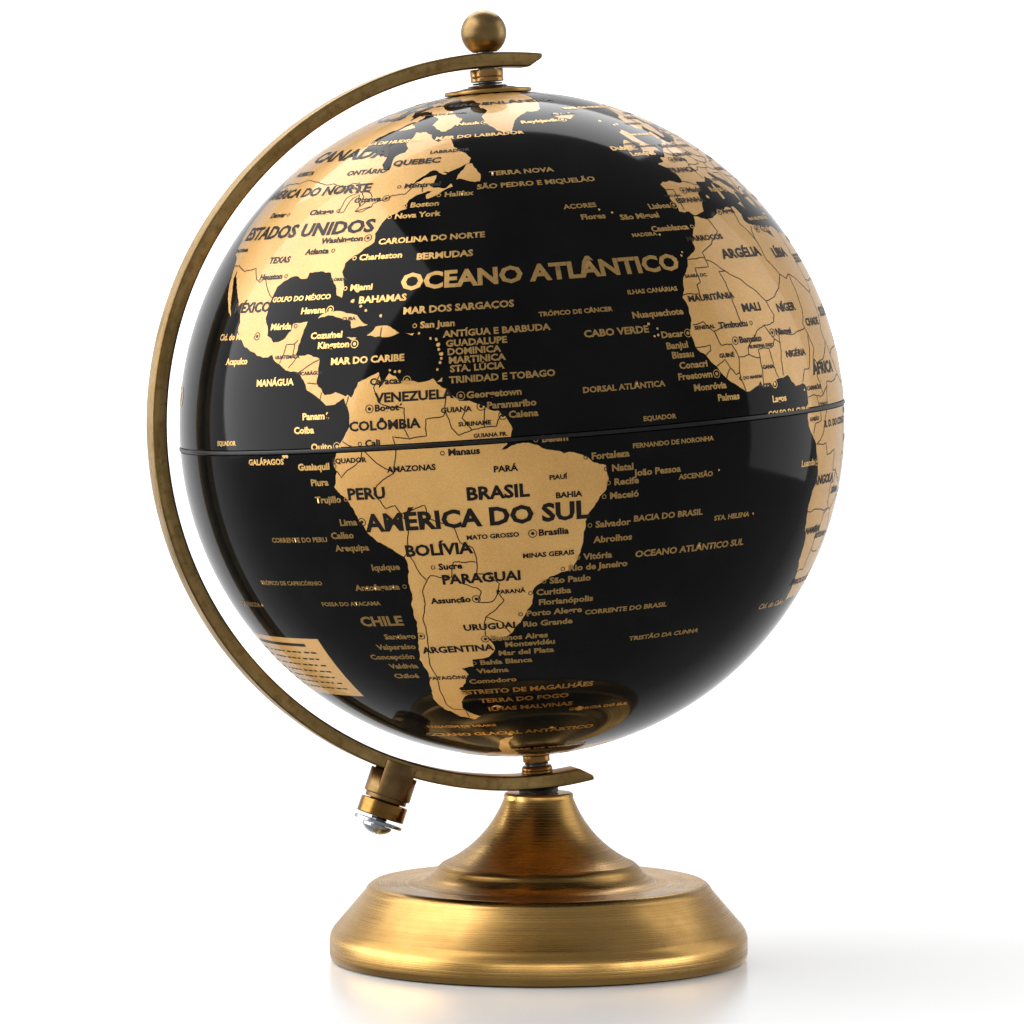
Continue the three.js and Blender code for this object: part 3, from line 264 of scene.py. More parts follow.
BORDERS = """
    -123 49 -95.2 49 -92 48.2 -89.5 48 -88.4 48.3 -84.8 46.8 -82.5 45.3 -82.4 43 -83.1 42 -79 42.8 -79.2
        43.4 -76.5 44.1 -74.7 45 -71.5 45 -70.3 46.3 -69.2 47.4 -67.8 47 -67.2 45.2
    -92 46.7 -89 46.9 -88 47.4 -85 46.8 -84.7 46.2 -87.5 45.2 -87.8 42 -86.3 42 -85.5 45 -84 45.8 -83.4
        44.3 -82.4 43
    -92 46.7 -90 48 -88.3 48.6 -86 48.7 -84.8 47.5 -84.5 46.6 -81 46 -80 45 -81.6 43.5 -82.4 43
    -83.1 42 -81.2 41.8 -79 42.8
    -141 69.6 -141 60.3 -135.5 59.7 -130 55.5
    -117.1 32.5 -114.8 32.5 -111 31.3 -108.2 31.5 -106.5 31.8 -104.5 29.6 -103 29 -101.5 29.8 -99.5 27.5
        -97.2 26
    -92.2 14.6 -91.5 16 -91 17.8 -89.2 17.8 -88.5 18.4
    -89.2 17.8 -89.3 16 -88.9 15.9
    -90 13.8 -89.3 14.4 -88.3 15.7
    -87.6 13 -86 13.8 -85 14.3 -83.2 15
    -85.6 11.1 -84.5 11 -83.7 10.9
    -82.9 8.3 -82.6 9.5
    -77.4 8.6 -77.9 7.2
    -71.7 11.8 -72.8 9.8 -72 7.4 -70 6.5 -67.5 6.2 -67.8 3 -66.9 1.2 -69.8 1.7 -69.4 -0.5 -70 -4.2 -72.9
        -2.4 -75.3 -0.1 -78.8 1.4
    -75.3 -0.1 -75.6 -1.6 -78.4 -3.4 -79.6 -4.5 -80.3 -3.4
    -70 -4.2 -73.2 -6 -74 -7.5 -72.3 -9.9 -70.5 -9.5 -69.6 -11 -68.8 -13 -69.3 -15.5 -69.5 -17.5 -70.4
        -18.3
    -69.6 -11 -65.4 -9.7 -65 -12 -61 -13.5 -60.2 -16.3 -58.2 -17.3 -57.8 -20 -58.2 -19.8 -61.8 -19.6
        -62.6 -22.3 -64.5 -22.3 -66.3 -21.8 -67.2 -22.8 -68.2 -21.3 -68.7 -19.8 -69.5 -17.5
    -67.2 -22.8 -68.4 -24.5 -68.5 -27 -69.8 -30 -70 -33.5 -71 -37 -71.8 -40 -71.7 -44 -72.5 -48 -73 -50.5
        -71.9 -52 -68.5 -52.4 -68.6 -54.8
    -62.6 -22.3 -58.5 -24.5 -57.7 -25.3 -58.5 -27.3 -56 -27.3 -54.7 -25.7 -54.3 -24 -55.8 -22.3 -58 -22
        -57.8 -20
    -54.7 -25.7 -53.8 -27.2 -57.6 -30.2 -58.2 -32 -58.3 -34
    -57.6 -30.2 -55 -31.2 -53.3 -33.7
    -66.9 1.2 -64 1.5 -64 4.2 -61 4.5 -60.7 5.2 -60.5 8.3
    -60.7 5.2 -59.8 2.5 -58.8 1.3 -56.5 2 -54.5 2.3 -52.6 2.3 -51.7 4.1
    -57.2 6 -58 4 -56.5 2
    -54 5.8 -54.5 2.3
    -71.7 19.7 -71.8 18.1
    -2.2 35.1 -1.5 32.5 -5.5 30 -8.7 28.7 -8.7 27.3 -4.9 25 1.8 20.5 3.2 19.1 5.8 19.5 12 23.5 14.2 22.6
        16 23.4 24 19.5 24 20 25 20 25 22 25 31.5
    -13.2 27.7 -8.7 27.7
    -8.7 27.3 -8.7 26 -12 26 -12 23.4 -13 23 -13.1 21.3 -17 21.3
    -4.9 25 -6.6 25 -5.6 16.5 -5.4 15.5 -9.3 15.6 -12.2 14.8 -14 16.6 -16.4 16.2
    12 23.5 9.5 26.3 9.9 30 9 32 7.6 33.5 8.4 36.8
    9.7 30.3 10.3 31.8 11.5 33.1
    25 22 36.8 22
    24 19.5 24 15.7 22 13 22.9 11 18.6 8 15.5 7.5 14.2 8.5 15.5 10 14.5 12.8 13.5 14.4 15.5 17 16 23.4
    3.2 19.1 4.2 16.5 3.5 15.4 0.3 15 -2 14.2 -5.3 11.5 -5.5 10.4 -8 10.2 -9 12.4 -11.4 12.4 -12.2 14.8
    3.6 11.7 4 13.5 7 13 11 13.4 13.6 13.7
    2.7 6.3 2.8 9 3.6 11.7
    0.3 15 2.2 12.5 3.6 11.7
    1.2 6.1 0.4 8 0 11.1 1.4 11.4 2.2 12.5
    -3.1 5.1 -2.8 7.8 -2.8 9.7 -2.9 11 0 11.1
    -5.5 10.4 -2.8 9.7
    -7.5 4.4 -8.4 6.5 -8.4 7.6 -8 10.2
    -13.2 9 -11.2 10 -10.3 8.5 -11.5 6.9
    -10.3 8.5 -9.3 7.3 -8.4 7.6
    -16.7 12.4 -13.7 12.6 -13.8 11.7 -15 11
    8.5 4.8 9.8 6.9 11.8 7 13.2 9.6 14.5 12.8
    15.5 7.5 14.5 5.5 16.2 2.2 13.2 2.2 9.8 2.2
    22.9 11 24.2 8.7 27.4 5.1 22.5 4.2 18.6 4.3 18.6 3.5 17.8 0 16.2 -2.2 15.3 -4.3 12.5 -5.8
    18.6 3.5 16.2 2.2
    13.2 2.2 14.3 -0.5 14.4 -2 12 -2.4 11.1 -4
    12.4 -5.9 16.6 -5.9 17.6 -8 21.8 -7.3 22 -11 24 -10.9 24 -13 22 -13 22 -16.2 23.4 -17.6 18.5 -17.4 14
        -17.4 11.8 -17.3
    24 -10.9 25.5 -11.8 29.8 -13.4 29 -9.3 28.5 -8.5 30.8 -8.3 29.3 -6 29.2 -3.3 29.6 -1.4 31.3 2.2 30.9
        3.5 27.4 5.1
    34 4.2 34.5 1 34 -1 37.7 -3.2 39.2 -4.7
    30.9 3.5 34 4.2 36 4.5 38 3.6 41.9 4 41 -0.9 41.6 -1.7
    29.6 -1.4 30.5 -1 34 -1
    30.8 -8.3 32.9 -9.4 34.3 -10 34.6 -11.6 40.4 -10.5
    32.9 -9.4 33.3 -12.5 32.7 -13.7 30.2 -15.6 25.3 -17.8 23.4 -17.6
    34.6 -11.6 35.8 -14.7 35.2 -17.1
    30.2 -15.6 32.8 -16.7 32.6 -20.5 31.3 -22.4 31.9 -24.5 32.1 -26.8 32.9 -26.8
    31.3 -22.4 29.4 -22.2 27 -23.7 25.6 -25.6 22.7 -25.4 20 -24.8 20 -28.4 16.5 -28.6
    20 -24.8 20 -22 21 -22 21 -18.3 23.4 -17.6
    29.4 -22.2 27.7 -20.5 25.3 -17.8
    27 -29.7 28.7 -28.7 29.4 -29.7 28 -30.6 27 -29.7
    38.5 18 36.4 14.3 34.1 10.6 33 7.9 36 4.5
    36.4 14.3 40.2 14.5 42.4 12.5
    43.2 11.5 43 9.3 47.9 8 45 5 41.9 4
    24.2 8.7 27 9.6 31 9.8 33 12 34.1 10.6
    -8.8 41.9 -6.5 41.8 -7 39.5 -7.4 37.2
    -1.8 43.4 3.1 42.5
    2.5 51.1 6 49.5 8.1 49 7.6 47.6 6.2 46.3 7 45.8 7.5 43.8
    6.2 49.5 6 51.2 7 53.3
    7 45.8 9 46 10.4 46.8 13.7 46.5 13.7 45.6
    7.6 47.6 9.6 47.5 13 47.5 13.8 48.7 12.2 50.3 15 51 14.3 53.9
    8.7 54.9 9.9 54.8
    15 51 18.8 49.5 22.6 49.1 24 50.8 23.6 52.5 23.9 54 22.8 54.4 19.7 54.4
    13.8 48.7 17 48 18.8 47.8 22.6 49.1
    17 48 16.2 46.6 13.7 46.5
    16.2 46.6 18.9 45.9 20.3 46.1 22.9 48
    20.3 46.1 22.4 44.5 28.6 43.8
    22.4 44.5 22.4 42.3 20.8 41 19.4 41.9
    20.1 39.6 21 40.9 23 41.3 26.3 41.3 26.1 40.9
    15.8 45.2 18.9 45 19.3 43.5 18.5 42.5
    22.6 48.1 26.6 48.3 28.2 45.5 29.7 45.3
    23.6 51.5 30.5 51.5 32 52.3 34 51.8 35.5 50.4 40 49.6 38.2 47.1
    32 52.3 31 55 28.2 56.2 26.6 55.7 23.9 54
    21.1 56 24.9 56.4 26.6 55.7
    24.4 57.9 27.4 57.5 28.2 56.2
    27.4 57.5 28 59.4
    27.8 60.5 31.5 62.9 29.8 66 30 67.7 28.5 68.5 30.8 69.8
    11.2 59 12.2 61.5 13.7 64.5 16 67 20.3 69 25.8 69.1 28 70.1
    24.2 65.8 23.7 67.8 20.5 69.1
    36 36 37.5 36.7 42.3 37.2 44.8 37.2 44.4 39.8 43.5 41.1 41.5 41.5
    42.3 37.2 41 34.4 39 32.2 36.8 32.3 35.7 32.7 35.5 31.3 35 29.5
    39 32.2 42 31.1 44.7 29.2 47.7 28.6
    44.8 37.2 46 35 45.5 33.8 47.8 31 48.5 30
    40 43.4 46.5 41.9 48.5 41.9
    44.4 39.8 46.5 38.9 48 39.5 48.8 38.4
    42.8 16.4 44 17.4 52 19 53 16.7
    52 19 55 20 55.2 22.7 52.5 22.9 51.5 24.3
    53.9 37.3 57.5 38.2 61.2 36.6 60.6 33.5 60.9 29.8 63.3 27.2 61.6 25.1
    60.9 29.8 66.3 29.9 69.3 32 71 34.5 74.5 37.1 71.3 37 66.6 37.4 64.5 36.4 61.2 36.6
    49.3 46.5 47 48.5 48 50 52 51.5 55 51 61.5 50.8 61 53.8 69 55.3 71 54.2 77 53.9 80 50.8 87.3 49.1
        85.5 47.1 82.5 45.2 80.2 42.1 71 42.5 69 41.3 66 42 61.5 44 58.6 45.6 56 45 56 41.3 53 41.5
    56 41.3 60 42.2 62.5 40 66.6 37.4
    80.2 42.1 74 40 74.5 37.1 77.8 35.5 79 32.5 81 30.2 88 27.9 91.6 27.8 97 28.2 98.7 26 97.7 24 100
        21.5 102.1 22.4 105.3 23.2 108 21.6
    77.8 35.5 74.2 34.5 74.5 31.5 71.5 28 70 25.5 71 24.4 68.2 23.7
    80.5 30 80.2 28.8 84 27.4 88.1 26.4 88 27.9
    89 21.8 88.7 24.3 88.1 26.4 92 25.1 92.6 22 92.3 20.8
    92.6 22 94.5 25 97 28.2
    102.1 22.4 104 20.5 107.5 15.5 107.5 12.3 104.5 10.4
    100 21.5 100 20.2 97.8 18.5 98.6 16 99.5 12 98.8 10.2
    100 20.2 101 17.7 104.7 17.4 105.5 14.4 102.5 13.5 102.9 11.7
    105.5 14.4 107.5 14.5
    87.8 49.1 91 45.2 96.4 42.7 105 41.6 111.8 43.7 116 46 119.8 47 116 49.8 108 49.4 102 51 98.5 52 92
        50.7 87.8 49.1
    116 49.8 120 53.2 125 53 127.5 49.8 131 47.7 134.8 48.3 131 44.9 130.6 42.4 128 42 124.3 40
    126.7 37.8 128.4 38.6
    109.6 2 112 1.2 115 2.5 117.9 4.2
    141 -2.6 141 -9.1
    129 -14.9 129 -31.7
    138 -16.5 138 -26 141 -26 141 -38
    141 -29 153.3 -28.2
    129 -26 138 -26
    141 -34 146 -36 150 -37.4"""

# Names: text, longitude and latitude of its middle, height of its capitals in millimetres.
LAND_NAMES = """
    AMÉRICA DO SUL|-57.3|-12.4|5; BRASIL|-53.2|-8.4|3.6; BOLÍVIA|-64.2|-17.4|3.3; PERU|-75.4|-7.4|3.2
    PARAGUAI|-57.4|-22.8|2.9; URUGUAI|-57.2|-32.2|2.1; ARGENTINA|-64.6|-36.6|2.3
    PATAGÔNIA|-68.6|-43.2|1.4; COLÔMBIA|-71.2|3.6|2.6; VENEZUELA|-65.9|8|2.6; EQUADOR|-77.9|-1.8|1.4
    GUIANA|-58.9|5.4|1.4; SURINAME|-56|3|1.2; GUIANA FR.|-53.6|1|1.1; AMAZONAS|-67|-3.6|1.6
    PARÁ|-51.6|-4.6|1.7; MATO GROSSO|-54.6|-15.6|1.3; BAHIA|-41.6|-9.6|1.6
    MINAS GERAIS|-45.4|-19.4|1.4; PARANÁ|-52.4|-25.6|1.3; PIAUÍ|-43.2|-6.6|1.3; MÉXICO|-103|24.4|3
    GUATEMALA|-90.6|15.6|1; NICARÁGUA|-85.3|12.7|1; CUBA|-78.2|21.5|1; ESTADOS UNIDOS|-98.5|38.6|4.4
    CANADÁ|-101|56.6|5.2; ALASCA|-152|65.2|3; GROENLÂNDIA|-42|73.4|2.8; AMÉRICA DO NORTE|-104|47.2|3.4
    QUEBEC|-71.5|53|2.4; ONTÁRIO|-86|51.3|2; TEXAS|-99.3|33|2; FLÓRIDA|-81.9|28.6|0.9
    CALIFÓRNIA|-118|35.4|1.1; TERRA DE BAFFIN|-72.5|69.2|1.1; LABRADOR|-62.5|55.4|1.4
    ALBERTA|-115|52.2|1.8; ÁFRICA|18.5|6.6|3.4; ARGÉLIA|2.4|28|3; MALI|-1.6|18.2|2.4
    NÍGER|9.2|17.6|2.4; MARROCOS|-6.1|31.4|1.7; MAURITÂNIA|-10.6|20.6|1.8; LÍBIA|17.4|27.4|3
    CHADE|18.6|14.6|2.2; EGITO|29.4|26|2.7; SUDÃO|30|16|2.8; NIGÉRIA|8|9.7|1.9; GANA|-1.2|8|1.1
    C. DO MARFIM|-6|6.6|0.9; GUINÉ|-10.6|10.6|1.2; SENEGAL|-14|15.6|1.1; BURKINA FASO|-1.7|11.6|1
    CAMARÕES|12.6|3.6|1.2; GABÃO|11.7|-1.6|1.1; CONGO|16|0.6|1.1; R. D. DO CONGO|23.4|-2.8|2
    ANGOLA|17.6|-12.2|2.6; NAMÍBIA|17.2|-21|2; ZÂMBIA|26.3|-14.6|1.8; BOTSUANA|23.9|-22.3|1.7
    ÁFRICA DO SUL|23|-30.8|1.8; MOÇAMBIQUE|37|-15.2|1.3; MADAGASCAR|46.7|-19.4|1.2
    TANZÂNIA|34.8|-6|1.8; QUÊNIA|37.8|2|1.8; ETIÓPIA|39.4|8.3|2.2; SOMÁLIA|46.4|5|1.4
    SAARA OC.|-12.4|24.6|1; PORTUGAL|-8|40.4|0.8; ESPANHA|-3.6|39.2|1.7; FRANÇA|2.6|46.2|2
    ALEMANHA|10.4|50.2|1.4; ITÁLIA|13|43.4|0.9; POLÔNIA|19.3|52.6|1.2; UCRÂNIA|31.5|49|1.8
    ROMÊNIA|24.8|46|1.3; GRÉCIA|22|39.4|0.9; TURQUIA|34.5|38.9|2; SUÉCIA|15.6|62.6|1.6
    NORUEGA|8.6|60.4|1.1; FINLÂNDIA|26.4|64.6|1.5; INGLATERRA|-1.4|53|0.9; IRLANDA|-8|53.9|0.9
    ISLÂNDIA|-18.6|65.4|1.2; RÚSSIA|90|62|6; CAZAQUISTÃO|67.5|48.3|3; ÁSIA|93|52|5; CHINA|103|33.6|5
    MONGÓLIA|103.5|46|2.8; ÍNDIA|79|22.4|3.4; IRÃ|55|31.6|2.8; IRAQUE|43|31.6|1.4
    ARÁBIA SAUDITA|45|23.6|1.9; PAQUISTÃO|67|26.6|1.4; AFEGANISTÃO|66|33.8|1.2; TAILÂNDIA|101.2|15.6|1
    VIETNÃ|106.4|13.6|0.9; MYANMAR|95.7|21.3|1.3; JAPÃO|138|36.8|1.1; COREIA|127.6|37|0.9
    FILIPINAS|122|17|0.8; BORNÉU|114|0.6|1.6; SUMATRA|101.6|0|1; NOVA GUINÉ|140.6|-5|1.5
    AUSTRÁLIA|134|-24.4|4.6; NOVA ZELÂNDIA|171.4|-43.4|0.8; OMÃ|57|21|1.1; IÊMEN|47.4|15.7|1.2
    NEPAL|84|28.3|0.9; ANTÁRTIDA|60|-75|4; ANTÁRTIDA|-120|-78|3; OCEANIA|146|-29|2"""
SEA_NAMES = """
    OCEANO ATLÂNTICO|-42|27.2|5; OCEANO ATLÂNTICO SUL|-18.5|-20.8|1.9; CHILE|-78.6|-30.2|3.2
    OCEANO PACÍFICO|-152|9|5.5; OCEANO ÍNDICO|79|-24|5; OCEANO ÁRTICO|-150|78|3.4
    OCEANO ÁRTICO|80|84|3; OCEANO PACÍFICO|177|-7|4.5; MAR DO CARIBE|-74.2|14.4|1.9
    GOLFO DO MÉXICO|-89.9|25.6|1.5; BAÍA DE HUDSON|-85.5|59.6|1.6; MAR DO LABRADOR|-54|59.6|1.7
    MAR DA NORUEGA|3|68|1.6; GOLFO DA GUINÉ|3.4|0.2|1.6; MAR DOS SARGAÇOS|-58|22.2|2
    MAR DE WEDDELL|-42|-71|1.7; OCEANO GLACIAL ANTÁRTICO|-60|-61.4|2.2
    OCEANO GLACIAL ANTÁRTICO|95|-60|2.4; BACIA DO BRASIL|-24|-14.6|1.7; MAR MEDITERRÂNEO|18.6|34.4|1.1
    MAR NEGRO|34|43.3|1; MAR ARÁBICO|64|14.4|2; BAÍA DE BENGALA|88.5|14.4|1.8
    MAR DA CHINA|113.5|17|1.3; MAR DO JAPÃO|134.5|39.8|1.2; MAR DE BERING|-178|58.4|2.2
    MAR DE TASMAN|160.5|-37.4|2; MAR DE OKHOTSK|149|55.4|1.7; MAR DO NORTE|2.9|56.6|0.9
    MAR DA TASMÂNIA|150|-46|1.6; ESTREITO DE MAGALHÃES|-51|-47.2|2; TERRA DO FOGO|-52|-49.8|2
    ILHAS MALVINAS|-50.6|-52.4|2; GEÓRGIA DO SUL|-30.6|-54.3|1.4; CABO VERDE|-31|16.1|2
    AÇORES|-32|39.6|1.6; BERMUDAS|-60.6|31.8|2; BAHAMAS|-72|24.6|2; GALÁPAGOS|-95.4|-1.6|1.6
    MADEIRA|-20.4|32.9|1.2; STA. HELENA|-10.8|-16|1.4; ILHAS CANÁRIAS|-22.6|22.6|1.3
    ASCENSÃO|-19|-8.4|1.4; TRISTÃO DA CUNHA|-20.3|-37.2|1.5; I. DE PÁSCOA|-115|-27.1|1.5
    HAVAÍ|-149|19.6|1.8; FERNANDO DE NORONHA|-23|-2.6|1.3; FOSSA DO ATACAMA|-84|-26.6|1.3
    TRÓPICO DE CÂNCER|-37.6|20|1.3; TRÓPICO DE CAPRICÓRNIO|-97|-22.6|1.3
    CORRENTE DO BRASIL|-30.4|-30.8|1.5; CORRENTE DO PERU|-91|-14.8|1.4; DORSAL ATLÂNTICA|-31|7|1.6
    PASSAGEM DE DRAKE|-74|-58|1.4; EQUADOR|-25.4|1.6|1.3; EQUADOR|-106|1.6|1.3"""
# Places: name, longitude, latitude, then c for a capital or n for no mark, and the side the name is on.
CITIES = """
    Brasília|-47.9|-15.6|ce; São Paulo|-46.4|-24.2|e; Rio de Janeiro|-43|-22.2|e; Salvador|-38.2|-15|e
    Recife|-34.9|-8.2|e; Fortaleza|-38.5|-3.7|e; Natal|-35.2|-5.9|e; Belém|-46.4|-0.3|e
    Manaus|-61.6|-1.4|e; Porto Alegre|-51|-30.1|e; Curitiba|-48.9|-26.2|e; Vitória|-40.3|-20.4|e
    Maceió|-35.7|-10.4|e; Sucre|-65.6|-20.4|e; Quito|-79.9|0.6|cw; Buenos Aires|-58.4|-34.7|ce
    Assunção|-58.8|-26.6|cw; Lima|-77|-12|cw; Bogotá|-73.6|6.4|ce; Cali|-75.6|0.8|e
    Caracas|-66.9|10.7|cw; Santiago|-71.3|-33.4|cw; Bahía Blanca|-61.8|-39.9|e
    Antofagasta|-71.6|-23.6|w; Trujillo|-79.3|-8.1|w; Guaiaquil|-80.7|-2.6|w; Georgetown|-58|7.6|ce
    Paramaribo|-54.8|5.7|ce; Caiena|-51.4|4|ce; Havana|-82.4|23.3|cw; Kingston|-76.6|17.2|cw
    San Juan|-65.6|19.6|e; Nova York|-73.6|40.2|e; Boston|-70.6|42.4|e; Washington|-77.4|36.2|cw
    Ottawa|-76|44.4|cw; Miami|-79.9|26.9|e; Chicago|-88|42.4|w; Atlanta|-85|34.2|w; Halifax|-63|44.2|e
    Charleston|-79.3|32.4|e; Montreal|-73.6|46.9|e; Denver|-105|42.4|w; Houston|-95.4|29.9|w
    Cid. do México|-99.1|19.4|cw; Mérida|-89.6|20.8|w; Dacar|-17.8|14.9|cw; Acra|-0.2|5.1|cw
    Luanda|12.8|-8.8|cw; Casablanca|-8|33.8|w; Argel|3|36.4|ce; Lisboa|-9.5|38.4|cw; Madri|-3.7|41.4|ce
    Paris|2.3|48.9|ce; Londres|-0.1|51|cw; Dublin|-6.3|52.8|cw; Cairo|31.2|29.8|ce; Bamako|-8|12.9|ce
    Freetown|-13.5|7.8|cw; Niamei|2.1|13.6|ce; Trípoli|13.2|32.3|ce; Timbuctu|-3|15.6|w
    Cid. do Cabo|18|-34.4|w; Moscou|37.6|55.8|ce; Berlim|13.4|52.8|cw; Roma|12.5|41.2|cw
    Pequim|116.4|39.9|cw; Tóquio|140.3|34.6|ce; Délhi|77.2|28|ce; Teerã|51.4|35.7|ce
    Nairóbi|36.8|-1.3|cw; Sydney|151.6|-33.9|e; Perth|115.4|-32|w; Novosibirsk|82.9|56.4|w
    Bagdá|44.4|34.2|cw; Bombaim|72.5|19|w; Jacarta|106.8|-6.4|cw; Manila|121|14|ce
    Honolulu|-158.4|22.4|w; Nuuk|-52|64.2|cw; Reykjavík|-22.2|63.2|cw; ANTÍGUA E BARBUDA|-60.8|17.8|ne
    GUADALUPE|-60.4|16.2|ne; DOMINICA|-60.2|14.8|ne; MARTINICA|-60|13.4|ne; STA. LÚCIA|-59.8|12|ne
    TRINIDAD E TOBAGO|-60|10.2|ne; SÃO PEDRO E MIQUELÃO|-54.5|45.4|ne; TERRA NOVA|-51.5|48.4|ne
    CAROLINA DO NORTE|-75|35.2|ne; Flores|-33|37.2|ne; São Miguel|-24.5|36.6|ne
    Nuaquechote|-17.5|18.6|nw; Banjul|-18|13|nw; Bissau|-17.2|11.4|nw; Conacri|-14.8|9.6|nw
    Monróvia|-11.6|5.8|nw; Palmas|-9|3.8|nw; Lagos|-1.6|2.6|ne; João Pessoa|-30.6|-7|ne
    Abrolhos|-37.8|-17.6|ne; Florianópolis|-47.8|-28.1|ne; Rio Grande|-51|-32.2|ne
    Montevidéu|-55|-36.2|ne; Mar del Plata|-56.6|-38|ne; Viedma|-62|-41.9|ne; Comodoro|-64.6|-44.4|ne
    Valparaíso|-73|-35.6|nw; Concepción|-74.2|-37.8|nw; Valdivia|-74.4|-40|nw; Chiloé|-75.4|-42.4|nw
    Iquique|-71.4|-20|nw; Arequipa|-76.4|-16.4|nw; Callao|-78.8|-14.2|nw; Piura|-82|-5.2|nw
    Panamá|-81|5.6|nw; Coiba|-84|3.4|nw; MANÁGUA|-88.4|11.4|nw; Acapulco|-100.4|15.2|nw
    Cozumel|-86|18.9|ne"""


# ---- Geometry helpers ----

def entries(text):
    """The fields of each entry in a list of names."""
    rows = text.replace("\n", ";").split(";")
    return [[field.strip() for field in row.split("|")] for row in rows if "|" in row]


def pairs(text):
    """Points from a run of longitudes and latitudes."""
    values = [float(word) for word in text.split()]
    return list(zip(values[0::2], values[1::2]))


def arc(a, b, sweep, steps):
    """Points on an arc from a to b that turns by an angle. A positive one bulges to the way's right."""
    a = Vector(a)
    b = Vector(b)
    half = (b - a).length / 2
    radius = half / math.sin(sweep / 2)
    along = (b - a).normalized()
    left = Vector((-along.y, along.x))
    centre = (a + b) / 2 + left * (half / math.tan(sweep / 2))
    first = math.atan2((a - centre).y / radius, (a - centre).x / radius)
    turns = [first + sweep * i / steps for i in range(steps + 1)]
    return [(centre.x + radius * math.cos(t), centre.y + radius * math.sin(t)) for t in turns]


def eased(points, ease, steps=3):
    """The profile with its sharp corners rounded off."""
    points = [Vector(p) for p in points]
    made = [points[0]]
    for before, corner, after in zip(points, points[1:], points[2:]):
        back = before - corner
        ahead = after - corner
        short = min(back.length, ahead.length) < 1e-6
        if short or math.pi - back.angle(ahead) < math.radians(20):
            made.append(corner)
            continue
        start = corner + back.normalized() * min(ease, back.length / 2.1)
        end = corner + ahead.normalized() * min(ease, ahead.length / 2.1)
        for i in range(steps + 1):
            t = i / steps
            made.append(start * (1 - t) ** 2 + corner * (2 * t * (1 - t)) + end * t ** 2)
    made.append(points[-1])
    return [tuple(p) for p in made]


def turned(profile, sides=160, closed=False):
    """A surface turned round Z from (radius, height) points in millimetres."""
    bm = bmesh.new()
    rings = []
    for radius, height in profile:
        count = sides if radius > 1e-6 else 1
        turns = [2 * math.pi * i / sides for i in range(count)]
        spots = [(radius * MM * math.cos(t), radius * MM * math.sin(t), height * MM) for t in turns]
        rings.append([bm.verts.new(spot) for spot in spots])
    if closed:
        rings.append(rings[0])
    for low, high in zip(rings, rings[1:]):
        for i in range(sides):
            j = (i + 1) % sides
            corners = [low[i % len(low)], low[j % len(low)], high[j % len(high)], high[i % len(high)]]
            corners = list(dict.fromkeys(corners))
            if len(corners) > 2:
                bm.faces.new(corners)
    bmesh.ops.recalc_face_normals(bm, faces=bm.faces)
    return bm


def block(low, high):
    """A box between two corners in millimetres, to cut with."""
    bm = bmesh.new()
    bmesh.ops.create_cube(bm, size=1)
    low = Vector(low) * MM
    high = Vector(high) * MM
    for vert in bm.verts:
        vert.co = Vector([low[k] + (vert.co[k] + 0.5) * (high[k] - low[k]) for k in range(3)])
    return bm


def to_object(name, bm, place=ROW, sharp=35):
    """An object from a bmesh, smooth except where faces meet at more than the sharp angle."""
    for face in bm.faces:
        face.smooth = True
    for edge in bm.edges:
        if len(edge.link_faces) == 2 and edge.calc_face_angle(0) > math.radians(sharp):
            edge.smooth = False
    mesh = bpy.data.meshes.new(name)
    bm.to_mesh(mesh)
    bm.free()
    made = bpy.data.objects.new(name, mesh)
    bpy.context.scene.collection.objects.link(made)
    made.matrix_world = place
    return made


def carve(piece, bm):
    """Cuts a shape, in the piece's own frame, out of it."""
    cutter = to_object("cutter", bm, piece.matrix_world)
    cut = piece.modifiers.new("cut", "BOOLEAN")
    cut.operation = "DIFFERENCE"
    cut.solver = "EXACT"
    cut.object = cutter
    bpy.context.view_layer.update()
    evaluated = piece.evaluated_get(bpy.context.evaluated_depsgraph_get())
    mesh = bpy.data.meshes.new_from_object(evaluated)
    piece.modifiers.clear()
    piece.data = mesh
    bpy.data.objects.remove(cutter)


def settle(piece, body, finish, materials, *nodes):
    """Gives a piece its materials and its body, and hides the CAD nodes that it stands for."""
    for k, material in enumerate(materials if isinstance(materials, list) else [materials]):
        if k < len(piece.data.materials):
            piece.data.materials[k] = material
        else:
            piece.data.materials.append(material)
    if nodes:
        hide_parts(*nodes)
    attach(piece, body)
    return piece


# ---- Materials ----

